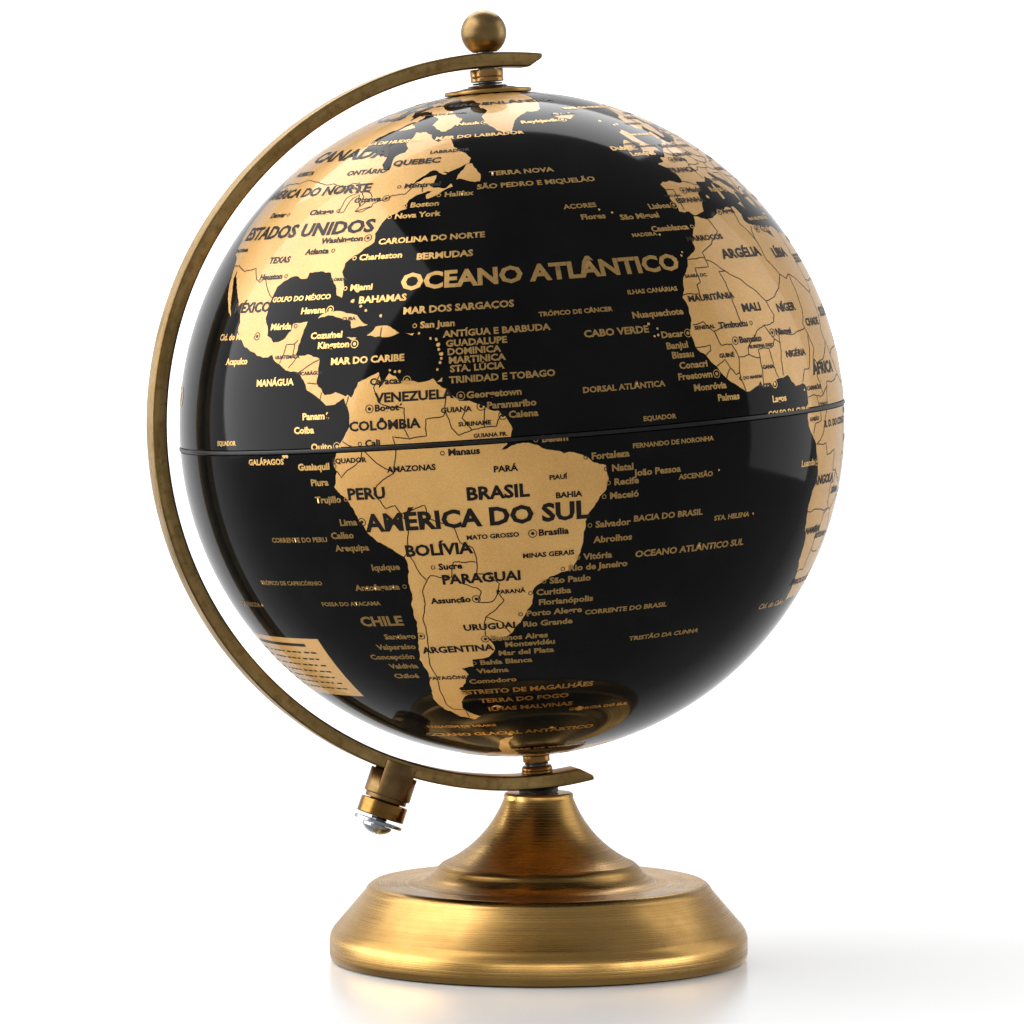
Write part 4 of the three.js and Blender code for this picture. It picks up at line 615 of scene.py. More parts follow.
class Paint:
    """A material and short ways to add nodes to it."""

    def __init__(self, name, sockets):
        self.material = bpy.data.materials.new(name)
        self.material.use_nodes = True
        self.tree = self.material.node_tree
        self.shader = self.tree.nodes["Principled BSDF"]
        for socket, value in sockets.items():
            self.shader.inputs[socket].default_value = value
        self.place = self.add("ShaderNodeTexCoord").outputs["Object"]

    def add(self, kind, inputs=(), **settings):
        made = self.tree.nodes.new(kind)
        for name, value in settings.items():
            setattr(made, name, value)
        for socket, value in dict(inputs).items():
            if isinstance(value, bpy.types.NodeSocket):
                self.tree.links.new(value, made.inputs[socket])
            else:
                made.inputs[socket].default_value = value
        return made

    def math(self, operation, *values):
        return self.add("ShaderNodeMath", enumerate(values), operation=operation).outputs[0]

    def vector(self, operation, a, b=(0, 0, 0)):
        made = self.add("ShaderNodeVectorMath", {0: a, 1: b}, operation=operation)
        return made.outputs["Value" if operation == "LENGTH" else "Vector"]

    def noise(self, scale, detail=3, place=None, rough=0.55):
        sockets = {"Vector": place or self.place, "Scale": scale, "Detail": detail, "Roughness": rough}
        return self.add("ShaderNodeTexNoise", sockets).outputs[0]

    def cells(self, scale):
        return self.add("ShaderNodeTexVoronoi", {"Vector": self.place, "Scale": scale}).outputs["Color"]

    def spread(self, value, low, high, to_low=0.0, to_high=1.0):
        sockets = {0: value, 1: low, 2: high, 3: to_low, 4: to_high}
        return self.add("ShaderNodeMapRange", sockets, clamp=True).outputs[0]

    def mix(self, factor, a, b):
        return self.add("ShaderNodeMix", {0: factor, 6: a, 7: b}, data_type="RGBA").outputs[2]

    def bump(self, height, strength, depth, normal=None):
        sockets = {"Height": height, "Strength": strength, "Distance": depth}
        if normal:
            sockets["Normal"] = normal
        return self.add("ShaderNodeBump", sockets).outputs[0]

    def join(self, x, y, z):
        return self.add("ShaderNodeCombineXYZ", {0: x, 1: y, 2: z}).outputs[0]

    def split(self):
        return self.add("ShaderNodeSeparateXYZ", {0: self.place}).outputs

    def set(self, socket, value):
        self.tree.links.new(value, self.shader.inputs[socket])


def colour(text):
    """A colour from its sRGB hex digits, in linear light."""
    values = [int(text[i:i + 2], 16) / 255 for i in (0, 2, 4)]
    return (*[v / 12.92 if v < 0.04 else ((v + 0.055) / 1.055) ** 2.4 for v in values], 1)


def turned_metal(name, dark, light, rough, lines, groove, grain, blotch, cloud, banding=0.4):
    """Metal turned on a lathe: fine rings round Z, with patches of tone."""
    paint = Paint(name, {"Metallic": 1.0, "Anisotropic": grain})
    flat = paint.vector("MULTIPLY", paint.place, (1, 1, 0))
    across = paint.join(paint.vector("LENGTH", flat), 0.0, paint.split()[2])
    rings = paint.noise(lines, 2, across)
    wide_rings = paint.noise(lines / 9, 2, across)
    patches = paint.noise(blotch, 5)
    blotches = paint.spread(patches, 0.35, 0.68, 0, cloud)
    tone = paint.math("ADD", blotches, paint.spread(wide_rings, 0.3, 0.7, 0, banding))
    paint.set("Base Color", paint.mix(tone, colour(dark), colour(light)))
    ringed = paint.spread(rings, 0.3, 0.7, rough - 0.06, rough + 0.08)
    paint.set("Roughness", paint.math("ADD", ringed, paint.spread(patches, 0.4, 0.7, 0.05, -0.03)))
    paint.set("Normal", paint.bump(rings, groove, 0.00012))
    tangent = paint.add("ShaderNodeTangent", direction_type="RADIAL", axis="Z")
    paint.set("Tangent", tangent.outputs[0])
    return paint.material


def arm_metal():
    """Antiqued brass brushed along the arm's curve, brown in patches, with painted shade along its edges."""
    paint = Paint("arm_antique_brass", {"Metallic": 1.0, "Anisotropic": 0.35})
    x, y, z = paint.split()
    radius = paint.vector("LENGTH", paint.vector("MULTIPLY", paint.place, (1, 0, 1)))
    turn = paint.math("ARCTAN2", x, z)
    along = paint.math("MULTIPLY", turn, 0.0028)
    streaks = paint.noise(2400, 3, paint.join(radius, y, along))
    bands = paint.noise(420, 4, paint.join(radius, y, paint.math("MULTIPLY", turn, 0.012)))
    patches = paint.noise(75, 6)
    spots = paint.noise(520, 4)
    blotches = paint.spread(patches, 0.34, 0.66, 0, 0.6)
    worn = paint.math("ADD", blotches, paint.spread(bands, 0.34, 0.66, 0, 0.5))
    brass = paint.mix(worn, colour("937547"), colour("d2af71"))
    brown = paint.mix(paint.spread(spots, 0.5, 0.72, 0, 0.5), brass, colour("544024"))
    body = paint.mix(paint.spread(streaks, 0.35, 0.75, 0, 0.4), brown, colour("a9874f"))
    start = 0.7 * MM  # the painted shade along the edges starts this far in, and is full at the next distance
    full = 0.2 * MM
    outer = paint.spread(radius, ARM_OUTSIDE - start, ARM_OUTSIDE - full)
    inner = paint.spread(radius, ARM_INSIDE + full, ARM_INSIDE + start, 1, 0)
    side = paint.spread(paint.math("ABSOLUTE", y), ARM_WIDTH / 2 - start, ARM_WIDTH / 2 - full)
    edge = paint.math("MULTIPLY", paint.math("MAXIMUM", outer, inner), side)
    # Painted shade: the colour darkens to dark brown along the bar's four long edges, unevenly in patches.
    edge_shade = paint.math("MULTIPLY", edge, paint.spread(patches, 0.35, 0.6, 0.45, 0.85))
    paint.set("Base Color", paint.mix(edge_shade, body, colour("3a2b18")))
    brushed = paint.spread(streaks, 0.3, 0.7, 0.26, 0.42)
    paint.set("Roughness", paint.math("ADD", brushed, paint.spread(patches, 0.4, 0.65, 0.08, -0.02)))
    paint.set("Normal", paint.bump(streaks, 0.16, 0.00015))
    return paint.material


def grained(name, dark, light, metal, rough, scale=300, bump=0.1, depth=0.0002):
    """A plain finish with a fine grain of tone and roughness."""
    paint = Paint(name, {"Metallic": metal})
    broad = paint.noise(scale / 6, 4)
    fine = paint.noise(scale * 4, 3)
    paint.set("Base Color", paint.mix(paint.spread(broad, 0.3, 0.7), colour(dark), colour(light)))
    paint.set("Roughness", paint.spread(fine, 0.25, 0.75, rough - 0.08, rough + 0.08))
    paint.set("Normal", paint.bump(fine, bump, depth))
    return paint.material


def felt():
    """Black felt with a short nap."""
    paint = Paint("felt_nap", {"Roughness": 0.95, "Sheen Weight": 0.5, "Sheen Roughness": 0.5})
    nap = paint.noise(2600, 6, rough=0.8)
    paint.set("Base Color", paint.mix(nap, colour("060606"), colour("232322")))
    paint.set("Normal", paint.bump(nap, 0.8, 0.0005))
    return paint.material


def sea_lacquer():
    """Deep black under a clear coat that is almost mirror smooth."""
    paint = Paint("sea_black_lacquer", {"Roughness": 0.06, "IOR": 1.45, "Specular IOR Level": 0.12})
    haze = paint.noise(38, 4)
    swirl = paint.noise(900, 2)
    paint.set("Base Color", paint.mix(paint.spread(haze, 0.3, 0.7), colour("090909"), colour("111211")))
    paint.set("Roughness", paint.spread(haze, 0.3, 0.7, 0.05, 0.09))
    paint.set("Normal", paint.bump(swirl, 0.012, 0.00005))
    return paint.material


def land_gold():
    """Gold foil with a fine sparkle, under the globe's clear coat."""
    sockets = {"Metallic": 0.34, "Coat Weight": 0.45, "Coat Roughness": 0.05, "Coat IOR": 1.45}
    paint = Paint("land_gold_foil", sockets)
    haze = paint.noise(30, 5)
    grain = paint.noise(2600, 4, rough=0.75)
    flake = paint.vector("LENGTH", paint.cells(3300))
    broad = paint.spread(haze, 0.3, 0.7, 0.1, 0.45)
    tone = paint.math("ADD", broad, paint.spread(grain, 0.3, 0.7, -0.05, 0.4))
    paint.set("Base Color", paint.mix(tone, colour("b8843a"), colour("efc077")))
    paint.set("Roughness", paint.spread(flake, 0.4, 1.4, 0.3, 0.52))
    paint.set("Normal", paint.bump(flake, 0.22, 0.00006, paint.bump(grain, 0.12, 0.00006)))
    return paint.material


def ink(name, dark, light, metal, rough):
    """Printed ink or foil for names and lines, slightly uneven."""
    sockets = {"Metallic": metal, "Coat Weight": 0.2, "Coat Roughness": 0.06, "Specular IOR Level": 0.2}
    paint = Paint(name, sockets)
    mottle = paint.noise(1800, 3)
    paint.set("Base Color", paint.mix(mottle, colour(dark), colour(light)))
    paint.set("Roughness", paint.spread(mottle, 0.3, 0.7, rough - 0.05, rough + 0.08))
    return paint.material


def knurled_bronze():
    """The polar disc: turned bronze with a knurled ring between its lip and its hub."""
    paint = Paint("polar_disc_bronze", {"Metallic": 1.0, "Anisotropic": 0.3})
    x, y, z = paint.split()
    radius = paint.vector("LENGTH", paint.vector("MULTIPLY", paint.place, (1, 1, 0)))
    turn = paint.math("ARCTAN2", y, x)
    teeth = paint.math("SINE", paint.math("MULTIPLY", turn, 150.0))
    rings = paint.noise(2400, 2, paint.join(radius, 0.0, z))
    inside = paint.spread(radius, 11.7 * MM, 11.9 * MM, 1, 0)
    outside = paint.spread(radius, 6.2 * MM, 6.6 * MM)
    ridged = paint.math("MULTIPLY", paint.math("MULTIPLY", inside, outside), teeth)
    patches = paint.noise(160, 5)
    blotches = paint.spread(patches, 0.35, 0.65, 0, 0.5)
    tone = paint.math("ADD", blotches, paint.spread(rings, 0.3, 0.7, 0, 0.4))
    brown = paint.mix(tone, colour("4e3a22"), colour("94713f"))
    shaded = paint.mix(paint.spread(ridged, -1, 1, 0.55, 0), brown, colour("2c1b0e"))
    lip = paint.spread(radius, 11.8 * MM, 12.1 * MM)
    paint.set("Base Color", paint.mix(lip, shaded, colour("b08a50")))
    paint.set("Roughness", paint.spread(rings, 0.3, 0.7, 0.28, 0.42))
    grooves = paint.bump(ridged, 0.5, 0.0002)
    paint.set("Normal", paint.bump(rings, 0.1, 0.0001, grooves))
    return paint.material


base_brass = turned_metal("base_spun_brass", "96723b", "cfa666", 0.25, 2600, 0.14, 0.65, 45, 0.4, 0.3)
finial_bronze = turned_metal("finial_antique_bronze", "705a3c", "b79963", 0.3, 1500, 0.25, 0.5, 130, 0.6)
copper_brass = turned_metal("spacer_copper_brass", "9a7040", "dcb070", 0.2, 1800, 0.12, 0.4, 160, 0.5)
collar_brass = turned_metal("collar_dark_brass", "6b4c24", "c2924e", 0.18, 1800, 0.12, 0.4, 160, 0.5)
boss_bronze = turned_metal("boss_dark_bronze", "58432a", "a08054", 0.32, 1500, 0.2, 0.4, 130, 0.6)
zinc = turned_metal("zinc_plate", "9aa2a8", "d5dade", 0.24, 1700, 0.1, 0.3, 200, 0.6)
arm_brass = arm_metal()
disc_bronze = knurled_bronze()
sea = sea_lacquer()
land = land_gold()
gold_ink = ink("gold_print", "b98a48", "e3bd7c", 1.0, 0.34)
dark_ink = ink("dark_print", "120b05", "1e1409", 0.0, 0.5)
band_black = grained("band_satin_black", "0c0c0c", "1b1a18", 0.2, 0.36, 600, 0.1)
steel = grained("plain_steel_grain", "6d7073", "a2a5a8", 1.0, 0.36, 500)
iron = grained("cast_iron_skin", "2b2c2e", "454648", 0.8, 0.66, 700, 0.4, 0.0005)
nylon = grained("dark_nylon", "1d1b19", "35322e", 0.0, 0.46, 500)
plastic = grained("pale_moulding", "cbc6b8", "dedacf", 0.0, 0.46, 500)
felt_cloth = felt()

CAD_LOOKS = (
    (felt_cloth, "felt_pad"),
    (steel, "bottom_plate clamp_washer clamp_spring_washer axle_rod"),
    (iron, "ballast_weight"),
    (zinc, "plate_screw_1 plate_screw_2 plate_screw_3 clamp_nut"),
    (band_black, "taper_washer"),
    (nylon, "north_thrust_washer south_thrust_washer"),
    (plastic, "equator_sleeve north_bush south_bush"),
)
for look, node_names in CAD_LOOKS:
    for node_name in node_names.split():
        slots = frame["nodes"][node_name].data.materials
        if len(slots) == 0:
            slots.append(look)
        for k in range(len(slots)):
            slots[k] = look


# ---- Base ----

def base_outline():
    """The base's outside, from the neck's hole to the rim's foot."""
    slope_top = Vector((52.6, 21))
    slope_foot = Vector((61.3, 10.8))
    slope = math.atan2((slope_top - slope_foot).y, (slope_top - slope_foot).x) - math.pi / 2
    points = [(3.2, 50.7), (9.6, 50.7)]
    points += arc((9.7, 50.7), (10.5, 49.9), -math.pi / 2, 6)
    points += arc((10.5, 49.1), (29.2, 29.3), math.radians(46), 48)
    points += arc((30.5, 28.1), (37.6, 23.3), math.radians(50), 24)
    points += eased([(37.62, 23.3), (40, 23.32), (49.6, 23.58)], 0.1)
    points += arc((50, 23.6), slope_top, slope - math.pi / 2, 14)
    points += arc(slope_foot, (63.3, 6.6), -slope, 16)
    points += [(63.3, 2.6), (63.1, 1.2), (62.8, 0.6)]
    return points


base_profile = base_outline()
base_profile += [(61.7, 0.6), (61.9, 6.4), (60.2, 9.6), (51.4, 20.4), (49.6, 22.2), (37, 22.1)]
base_profile += [(29.6, 26.4), (27.5, 28.4), (16, 36.4), (9.3, 49), (3.2, 49.3)]
base = to_object("spun_base", turned(base_profile, 256, closed=True))
settle(base, "stand", "brushed_brass", base_brass, "base_shell")


# ---- Arm ----

def arm_point(radius, turn, y):
    """A point on the arm, by its turn from the south end round the bulge."""
    return Vector((-radius * math.sin(turn), y, -radius * math.cos(turn)))


def arm_bar():
    """The arm's bar, with blunt slanted ends."""
    steps = 160
    nose = 1.3 * MM
    reach = 16.6  # past the rod, along the outer face
    slant = 4.6  # how much shorter the inner face is
    outer_end = reach * MM / ARM_OUTSIDE
    inner_end = (reach - slant) * MM / ARM_INSIDE
    half = ARM_WIDTH / 2
    bm = bmesh.new()
    rows = []
    for i in range(steps + 1):
        share = i / steps
        inner = -inner_end + (math.pi + 2 * inner_end) * share
        outer = -outer_end + (math.pi + 2 * outer_end) * share
        corners = [(ARM_INSIDE, inner, -half), (ARM_OUTSIDE, outer, -half)]
        corners += [(ARM_OUTSIDE, outer, half), (ARM_INSIDE, inner, half)]
        rows.append([bm.verts.new(arm_point(*corner)) for corner in corners])
    for low, high in zip(rows, rows[1:]):
        for k in range(4):
            bm.faces.new((low[k], low[(k + 1) % 4], high[(k + 1) % 4], high[k]))
    for row, end in ((rows[0], -outer_end), (rows[-1], math.pi + outer_end)):
        blunt = [bm.verts.new(arm_point(ARM_OUTSIDE - nose, end, y)) for y in (-half, half)]
        bm.faces.new((row[0], row[3], blunt[1], blunt[0]))
        bm.faces.new((blunt[0], blunt[1], row[2], row[1]))
        bm.faces.new((row[0], blunt[0], row[1]))
        bm.faces.new((row[3], row[2], blunt[1]))
    bmesh.ops.recalc_face_normals(bm, faces=bm.faces)
    edges = [edge for edge in bm.edges if edge.calc_face_angle(0) > math.radians(25)]
    bmesh.ops.bevel(bm, geom=edges, offset=0.55 * MM, segments=3, profile=0.5, affect="EDGES")
    return bm


arm = to_object("meridian_arm_bar", arm_bar(), ARM, 60)
settle(arm, "arm", "antique_brass", arm_brass, "meridian_arm")


# ---- Finial, spacer, polar disc and the south collars ----

FINIAL_RADIUS = 6.85
FINIAL_FOOT_RADIUS = 3.65
SPACER_RADIUS = 5
COLLAR_RADIUS = 4.8
arm_lift = (ARM_CENTRE - NECK_TOP).length / MM
finial_foot = arm_lift + 111.3
ball_middle = finial_foot + math.sqrt(FINIAL_RADIUS ** 2 - FINIAL_FOOT_RADIUS ** 2)
finial_profile = [(2.8, finial_foot + 0.02), (3.4, finial_foot)]
rise = math.asin((finial_foot - ball_middle) / FINIAL_RADIUS)
for ring_number in range(61):
    angle = rise + (math.pi / 2 - rise) * ring_number / 60
    finial_profile.append((FINIAL_RADIUS * math.cos(angle), ball_middle + FINIAL_RADIUS * math.sin(angle)))
finial_profile[-1] = (0, ball_middle + FINIAL_RADIUS)
finial = to_object("ball_top", turned(finial_profile, 128), ON_ROD)
settle(finial, "arm", "brushed_brass", finial_bronze, "ball_finial")

disc_top = arm_lift - GLOBE_DROP + 102
spacer_low = disc_top + 1.05
spacer_high = arm_lift + math.sqrt(ARM_INNER ** 2 - SPACER_RADIUS ** 2) - 0.3
spacer_profile = [(ROD_HOLE, spacer_low), (SPACER_RADIUS, spacer_low)]
spacer_profile += [(SPACER_RADIUS, spacer_low + 1.2)]
spacer_profile += [(4.8, spacer_low + 1.3), (4.8, spacer_low + 1.5), (SPACER_RADIUS, spacer_low + 1.6)]
spacer_profile += [(SPACER_RADIUS, spacer_high), (ROD_HOLE, spacer_high)]
spacer = to_object("spacer_sleeve", turned(eased(spacer_profile, 0.22), 96, closed=True), ON_ROD)
settle(spacer, "arm", "brushed_brass", copper_brass, "north_spacer")

collar_low = arm_lift - math.sqrt(ARM_INNER ** 2 - COLLAR_RADIUS ** 2) + 0.3
collar_profile = [(ROD_HOLE, collar_low), (COLLAR_RADIUS, collar_low)]
collar_profile += [(4.78, collar_low + 0.5), (4.5, collar_low + 0.65)]
collar_profile += arc((4.7, collar_low + 0.8), (4.1, collar_low + 2.1), math.radians(60), 8)
collar_profile += [(ROD_HOLE, collar_low + 2.1)]
south_collar = to_object("south_ring", turned(collar_profile, 96, closed=True), ON_ROD)
settle(south_collar, "arm", "brushed_brass", collar_brass, "south_collar")

ring_low = collar_low + 3.15 - (arm_lift - GLOBE_DROP)
ring_profile = [(ROD_HOLE, ring_low), (4.1, ring_low), (4.1, -100.3), (ROD_HOLE, -100.3)]
globe_ring = to_object("globe_ring", turned(eased(ring_profile, 0.3), 96, closed=True), GLOBE)
settle(globe_ring, "globe", "brushed_brass", collar_brass, "globe_collar")


def over_globe(radius, lift):
    """A profile point at this radius from the axis, lifted off the globe."""
    return (radius, math.sqrt((RADIUS + lift) ** 2 - radius ** 2))


disc_profile = [(2.8, 101), (2.8, 100.4), (4.5, 100.2), over_globe(9, 0.3), over_globe(13.1, 0.3)]
disc_profile += [over_globe(13.1, 1.2), over_globe(12.8, 1.45), over_globe(12, 1.45), over_globe(11.8, 1.2)]
disc_profile += [over_globe(9.6, 1.28), (7.4, 101.35), (5.95, 101.55), (5.9, 101.8), (5.6, 102), (2.8, 102)]
disc = to_object("polar_cap_disc", turned(eased(disc_profile, 0.25), 200, closed=True), GLOBE)
settle(disc, "globe", "bronze", disc_bronze, "polar_disc")


# ---- Boss ----

boss_profile = [(2.8, 107.9), (7.15, 107.9), (7.15, 118.6), (6.35, 118.6), (6.35, 120), (4.6, 120)]
boss_profile += [(4.6, 124.3), (2.8, 124.3)]
boss = to_object("slotted_boss", turned(eased(boss_profile, 0.3, 2), 96, closed=True), BOSS)
carve(boss, block((-20, -5.3, 105), (20, 5.3, 111.3)))
settle(boss, "arm", "antique_brass", boss_bronze, "mount_boss")

boss_ring_profile = [(4.9, 120.3), (7.25, 120.3), (7.25, 125.1), (4.9, 125.1)]
boss_ring = to_object("boss_ring", turned(eased(boss_ring_profile, 0.4), 96, closed=True), BOSS)
settle(boss_ring, "arm", "brushed_brass", collar_brass, "boss_collar")

washer_profile = [(2.8, 126.2), (7.45, 126.2), (7.45, 127.2), (2.8, 127.2)]
washer = to_object("hanging_washer", turned(eased(washer_profile, 0.2), 96, closed=True), BOSS)
settle(washer, "arm", "zinc_steel", zinc, "boss_washer")

screw_profile = [(0, 107.5), (2.2, 107.5), (2.5, 107.8)]
for thread in range(24):
    low = 108 + thread * 0.8
    screw_profile += [(2.5, low), (2.12, low + 0.4)]
screw_profile += [(2.5, 127.3), (2.5, 127.5), (4.5, 127.5)]
screw_profile += arc((4.5, 128.3), (0, 130.4), 2 * math.atan2(2.1, 4.5), 14)[:-1]
screw_profile += [(0, 130.4)]
screw = to_object("pan_screw", turned(screw_profile, 96), BOSS)
carve(screw, block((-2.4, -0.55, 128.9), (2.4, 0.55, 132)))
carve(screw, block((-0.55, -2.4, 128.9), (0.55, 2.4, 132)))
settle(screw, "arm", "zinc_steel", zinc, "boss_screw")


# ---- Globe ----

chance = random.Random(11)  # every uneven line draws from this, in the order of the script
GRID_STEP = 2.2  # degrees between the map's loose points along the equator
MAP_ROWS = 80
SPLIT = math.degrees(SEAM_HALF / RADIUS)
TOP = math.degrees(math.acos(POLE_HOLE / RADIUS))


def on_globe(longitude, latitude, lift=0.0):
    """A place on the globe, in the globe's own frame."""
    turn = math.radians(longitude + PRIME_MERIDIAN)
    rise = math.radians(latitude)
    radius = GLOBE_RADIUS + lift
    flat = radius * math.cos(rise)
    return Vector((flat * math.cos(turn), flat * math.sin(turn), radius * math.sin(rise)))


def on_seam(start, end):
    """Whether a line of the map lies on its edge, where a waver would open a gap."""
    return abs(start.x) == 180 and start.x == end.x or min(start.y, end.y) < -85


def crinkled(start, end, amount, shortest=0.9):
    """Points from the start up to the end of a line, with a small seeded waver."""
    span = end - start
    if span.length < shortest:
        return [start]
    centre = (start + end) / 2
    if not on_seam(start, end):
        centre = centre + Vector((-span.y, span.x)) * chance.uniform(-amount, amount)
    return crinkled(start, centre, amount, shortest) + crinkled(centre, end, amount, shortest)


def wavering(points, closed, amount=0.11):
    """A line or closed outline with the small bends that a coast or border has."""
    spots = [Vector(point) for point in points]
    ends = spots[1:] + spots[:1] if closed else spots[1:]
    made = []
    for start, end in zip(spots, ends):
        made += crinkled(start, end, amount)
    return made if closed else made + spots[-1:]


def islet(longitude, latitude, radius):
    """A small uneven outline, as round on the globe as a real islet."""
    made = []
    for i in range(7):
        turn = 2 * math.pi * i / 7
        reach = radius * chance.uniform(0.75, 1.15)
        stretch = 1 / max(0.3, math.cos(math.radians(latitude)))
        east = stretch * reach * math.cos(turn)
        made.append(Vector((longitude + east, latitude + reach * math.sin(turn))))
    return made


def outlines():
    """The outlines of land, then of lakes."""
    shapes = [wavering(pairs(text), True) for text in LANDS.values()]
    values = [float(word) for word in ISLETS.split()]
    for longitude, latitude, radius in zip(values[0::3], values[1::3], values[2::3]):
        shapes.append(islet(longitude, latitude, radius))
    legend = [(-132, -33.8), (-97, -33.8), (-97, -48), (-132, -48)]
    shapes.append(wavering(legend, True, 0))
    return shapes, [wavering(pairs(text), True) for text in LAKES.values()]


def land_test(shapes):
    """A test of whether a place is inside any of the shapes."""
    boxes = []
    for shape in shapes:
        xs = [x for x, y in shape]
        ys = [y for x, y in shape]
        edges = [(*a, *b) for a, b in zip(shape, shape[1:] + shape[:1])]
        boxes.append((min(xs), max(xs), min(ys), max(ys), edges))

    def test(x, y):
        for west, east, south, north, edges in boxes:
            if not (west < x < east and south < y < north):
                continue
            inside = False
            for x1, y1, x2, y2 in edges:
                if (y1 > y) != (y2 > y) and x < x1 + (y - y1) * (x2 - x1) / (y2 - y1):
                    inside = not inside
            if inside:
                return True
        return False

    return test


def map_triangles():
    """Triangles over the whole map in degrees, each with whether it is land."""
    lands, lakes = outlines()
    spots = []
    edges = []
    for shape in lands + lakes:
        first = len(spots)
        edges += [(first + i, first + (i + 1) % len(shape)) for i in range(len(shape))]
        spots += shape
    rows = [-TOP + 2 * TOP * i / MAP_ROWS for i in range(MAP_ROWS + 1)]
    for row in rows:
        count = max(24, round(360 / GRID_STEP * math.cos(math.radians(row))))
        spots += [Vector((-180 + 360 * i / count, row)) for i in range(count + 1)]
    for row in (-SPLIT, SPLIT):
        count = 180
        first = len(spots)
        spots += [Vector((-180 + 360 * i / count, row)) for i in range(count + 1)]
        edges += [(first + i, first + i + 1) for i in range(count)]
    made = delaunay_2d_cdt(spots, edges, [], 0, 1e-5, True)
    corners = made[0]
    is_land = land_test([[tuple(p) for p in shape] for shape in lands])
    is_lake = land_test([[tuple(p) for p in shape] for shape in lakes])
    triangles = []
    for triangle in made[2]:
        x = sum(corners[k].x for k in triangle) / 3
        y = sum(corners[k].y for k in triangle) / 3
        triangles.append((triangle, is_land(x, y) and not is_lake(x, y)))
    return corners, triangles


def shell(name, corners, triangles, north):
    """One half of the globe's shell: the map outside, and a plain wall and inside."""
    sign = 1 if north else -1
    bm = bmesh.new()
    made = {}
    for triangle, is_land in triangles:
        if min(sign * corners[k].y for k in triangle) < SPLIT - 1e-4:
            continue
        for k in triangle:
            if k not in made:
                made[k] = bm.verts.new(on_globe(corners[k].x, corners[k].y))
        face = bm.faces.new([made[k] for k in triangle])
        face.material_index = 1 if is_land else 0
    bmesh.ops.remove_doubles(bm, verts=bm.verts, dist=1e-7)
    profile = [(POLE_HOLE, sign * 99.88), (POLE_HOLE, sign * 98.08)]
    highest = math.acos(POLE_HOLE / SHELL_INSIDE)
    lowest = math.asin(SEAM_HALF / SHELL_INSIDE)
    for i in range(25):
        rise = highest * (1 - i / 24) + lowest * (i / 24)
        profile.append((SHELL_INSIDE * math.cos(rise), sign * SHELL_INSIDE * math.sin(rise)))
    profile += [(SHELL_INSIDE, sign * 0.15), (99, sign * 0.15)]
    profile += [(99, sign * SEAM_HALF), (99.99, sign * SEAM_HALF)]
    wall = turned(profile, 128)
    wall_mesh = bpy.data.meshes.new("wall")
    wall.to_mesh(wall_mesh)
    wall.free()
    outside = len(bm.verts)
    bm.from_mesh(wall_mesh)
    bpy.data.meshes.remove(wall_mesh)
    piece = to_object(name, bm, GLOBE)
    normals = [v.co.normalized() if v.index < outside else Vector((0, 0, 0)) for v in piece.data.vertices]
    piece.data.normals_split_custom_set_from_vertices(normals)
    settle(piece, "globe", "gloss_black", [sea, land], "north_hemisphere" if north else "south_hemisphere")
    return piece


map_corners, map_faces = map_triangles()
shell("north_map_shell", map_corners, map_faces, True)
shell("south_map_shell", map_corners, map_faces, False)

band_profile = [(99.3, -0.55), (100.2, -0.55), (100.3, -0.42), (100.3, 0.42), (100.2, 0.55), (99.3, 0.55)]
band = to_object("seam_band", turned(eased(band_profile, 0.1, 2), 360, closed=True), GLOBE)
settle(band, "globe", "satin_black", band_black, "equator_band")


# ---- Borders, names and marks on the globe ----

def ribbon(bm, points, width, lift):
    """A flat strip along points on the globe."""
    spots = [on_globe(p[0], p[1], lift) for p in points]
    sides = []
    for i, spot in enumerate(spots):
        along = spots[min(i + 1, len(spots) - 1)] - spots[max(i - 1, 0)]
        across = along.cross(spot).normalized() * (width / 2)
        sides.append((bm.verts.new(spot - across), bm.verts.new(spot + across)))
    for (a, b), (c, d) in zip(sides, sides[1:]):
        bm.faces.new((a, b, d, c))


def ring_mark(bm, longitude, latitude, outer, inner):
    """A flat ring, or a dot where there is no inner radius."""
    centre = on_globe(longitude, latitude, MARK_LIFT)
    up = centre.normalized()
    east = Vector((0, 0, 1)).cross(up).normalized()
    north = up.cross(east)
    turns = [2 * math.pi * i / 20 for i in range(20)]
    reach = [east * math.cos(t) + north * math.sin(t) for t in turns]
    far = [bm.verts.new(centre + way * outer) for way in reach]
    if inner == 0:
        bm.faces.new(far)
        return
    near = [bm.verts.new(centre + way * inner) for way in reach]
    for i in range(20):
        j = (i + 1) % 20
        bm.faces.new((far[i], far[j], near[j], near[i]))


def border_lines():
    """Each border's points. A line set further in goes on from the one above."""
    text = BORDERS.strip("\n")
    lines = []
    for row in text.split("\n"):
        if row.startswith("        "):
            lines[-1] += " " + row.strip()
        else:
            lines.append(row.strip())
    return [pairs(line) for line in lines]


CAPITAL_SHARE = 0.7  # of the letter size
BOLDNESS = 0.054  # how far a stroke grows on each side, as a share of the capitals' height
LETTER_STRETCH = 1.14
CITY_CAPITALS = 1.85
LETTER_HALF = 0.62  # about half a letter's width in a city's name
MARK_LIFT = 0.05 * MM
NAME_LIFT = 0.07 * MM
BORDER_LIFT = 0.03 * MM
BORDER_WIDTH = 0.3 * MM
BORDER_WAVER = 0.07
CAPITAL_RING = (1.25 * MM, 1.02 * MM)  # outer and inner radius
CAPITAL_DOT = (0.5 * MM, 0)
TOWN_RING = (0.66 * MM, 0.44 * MM)
PLAIN_GAP = 0.4  # from a place to its name where there is no mark, in millimetres
MARK_GAP = 1.6
GROUND_GAP = 1.4  # the same, to find the ground under the name's middle
KEY_TOP = -37  # the latitude of the legend's first row
KEY_STEP = 1.5
KEY_LIFT = 0.04 * MM


def written(text, capitals, align="CENTER"):
    """A flat text object whose capitals stand this many millimetres high."""
    curve = bpy.data.curves.new("name", "FONT")
    curve.body = text
    curve.size = capitals / CAPITAL_SHARE
    curve.offset = capitals * BOLDNESS
    curve.align_x = align
    curve.align_y = "CENTER"
    curve.resolution_u = 2
    made = bpy.data.objects.new("name", curve)
    bpy.context.scene.collection.objects.link(made)
    return made


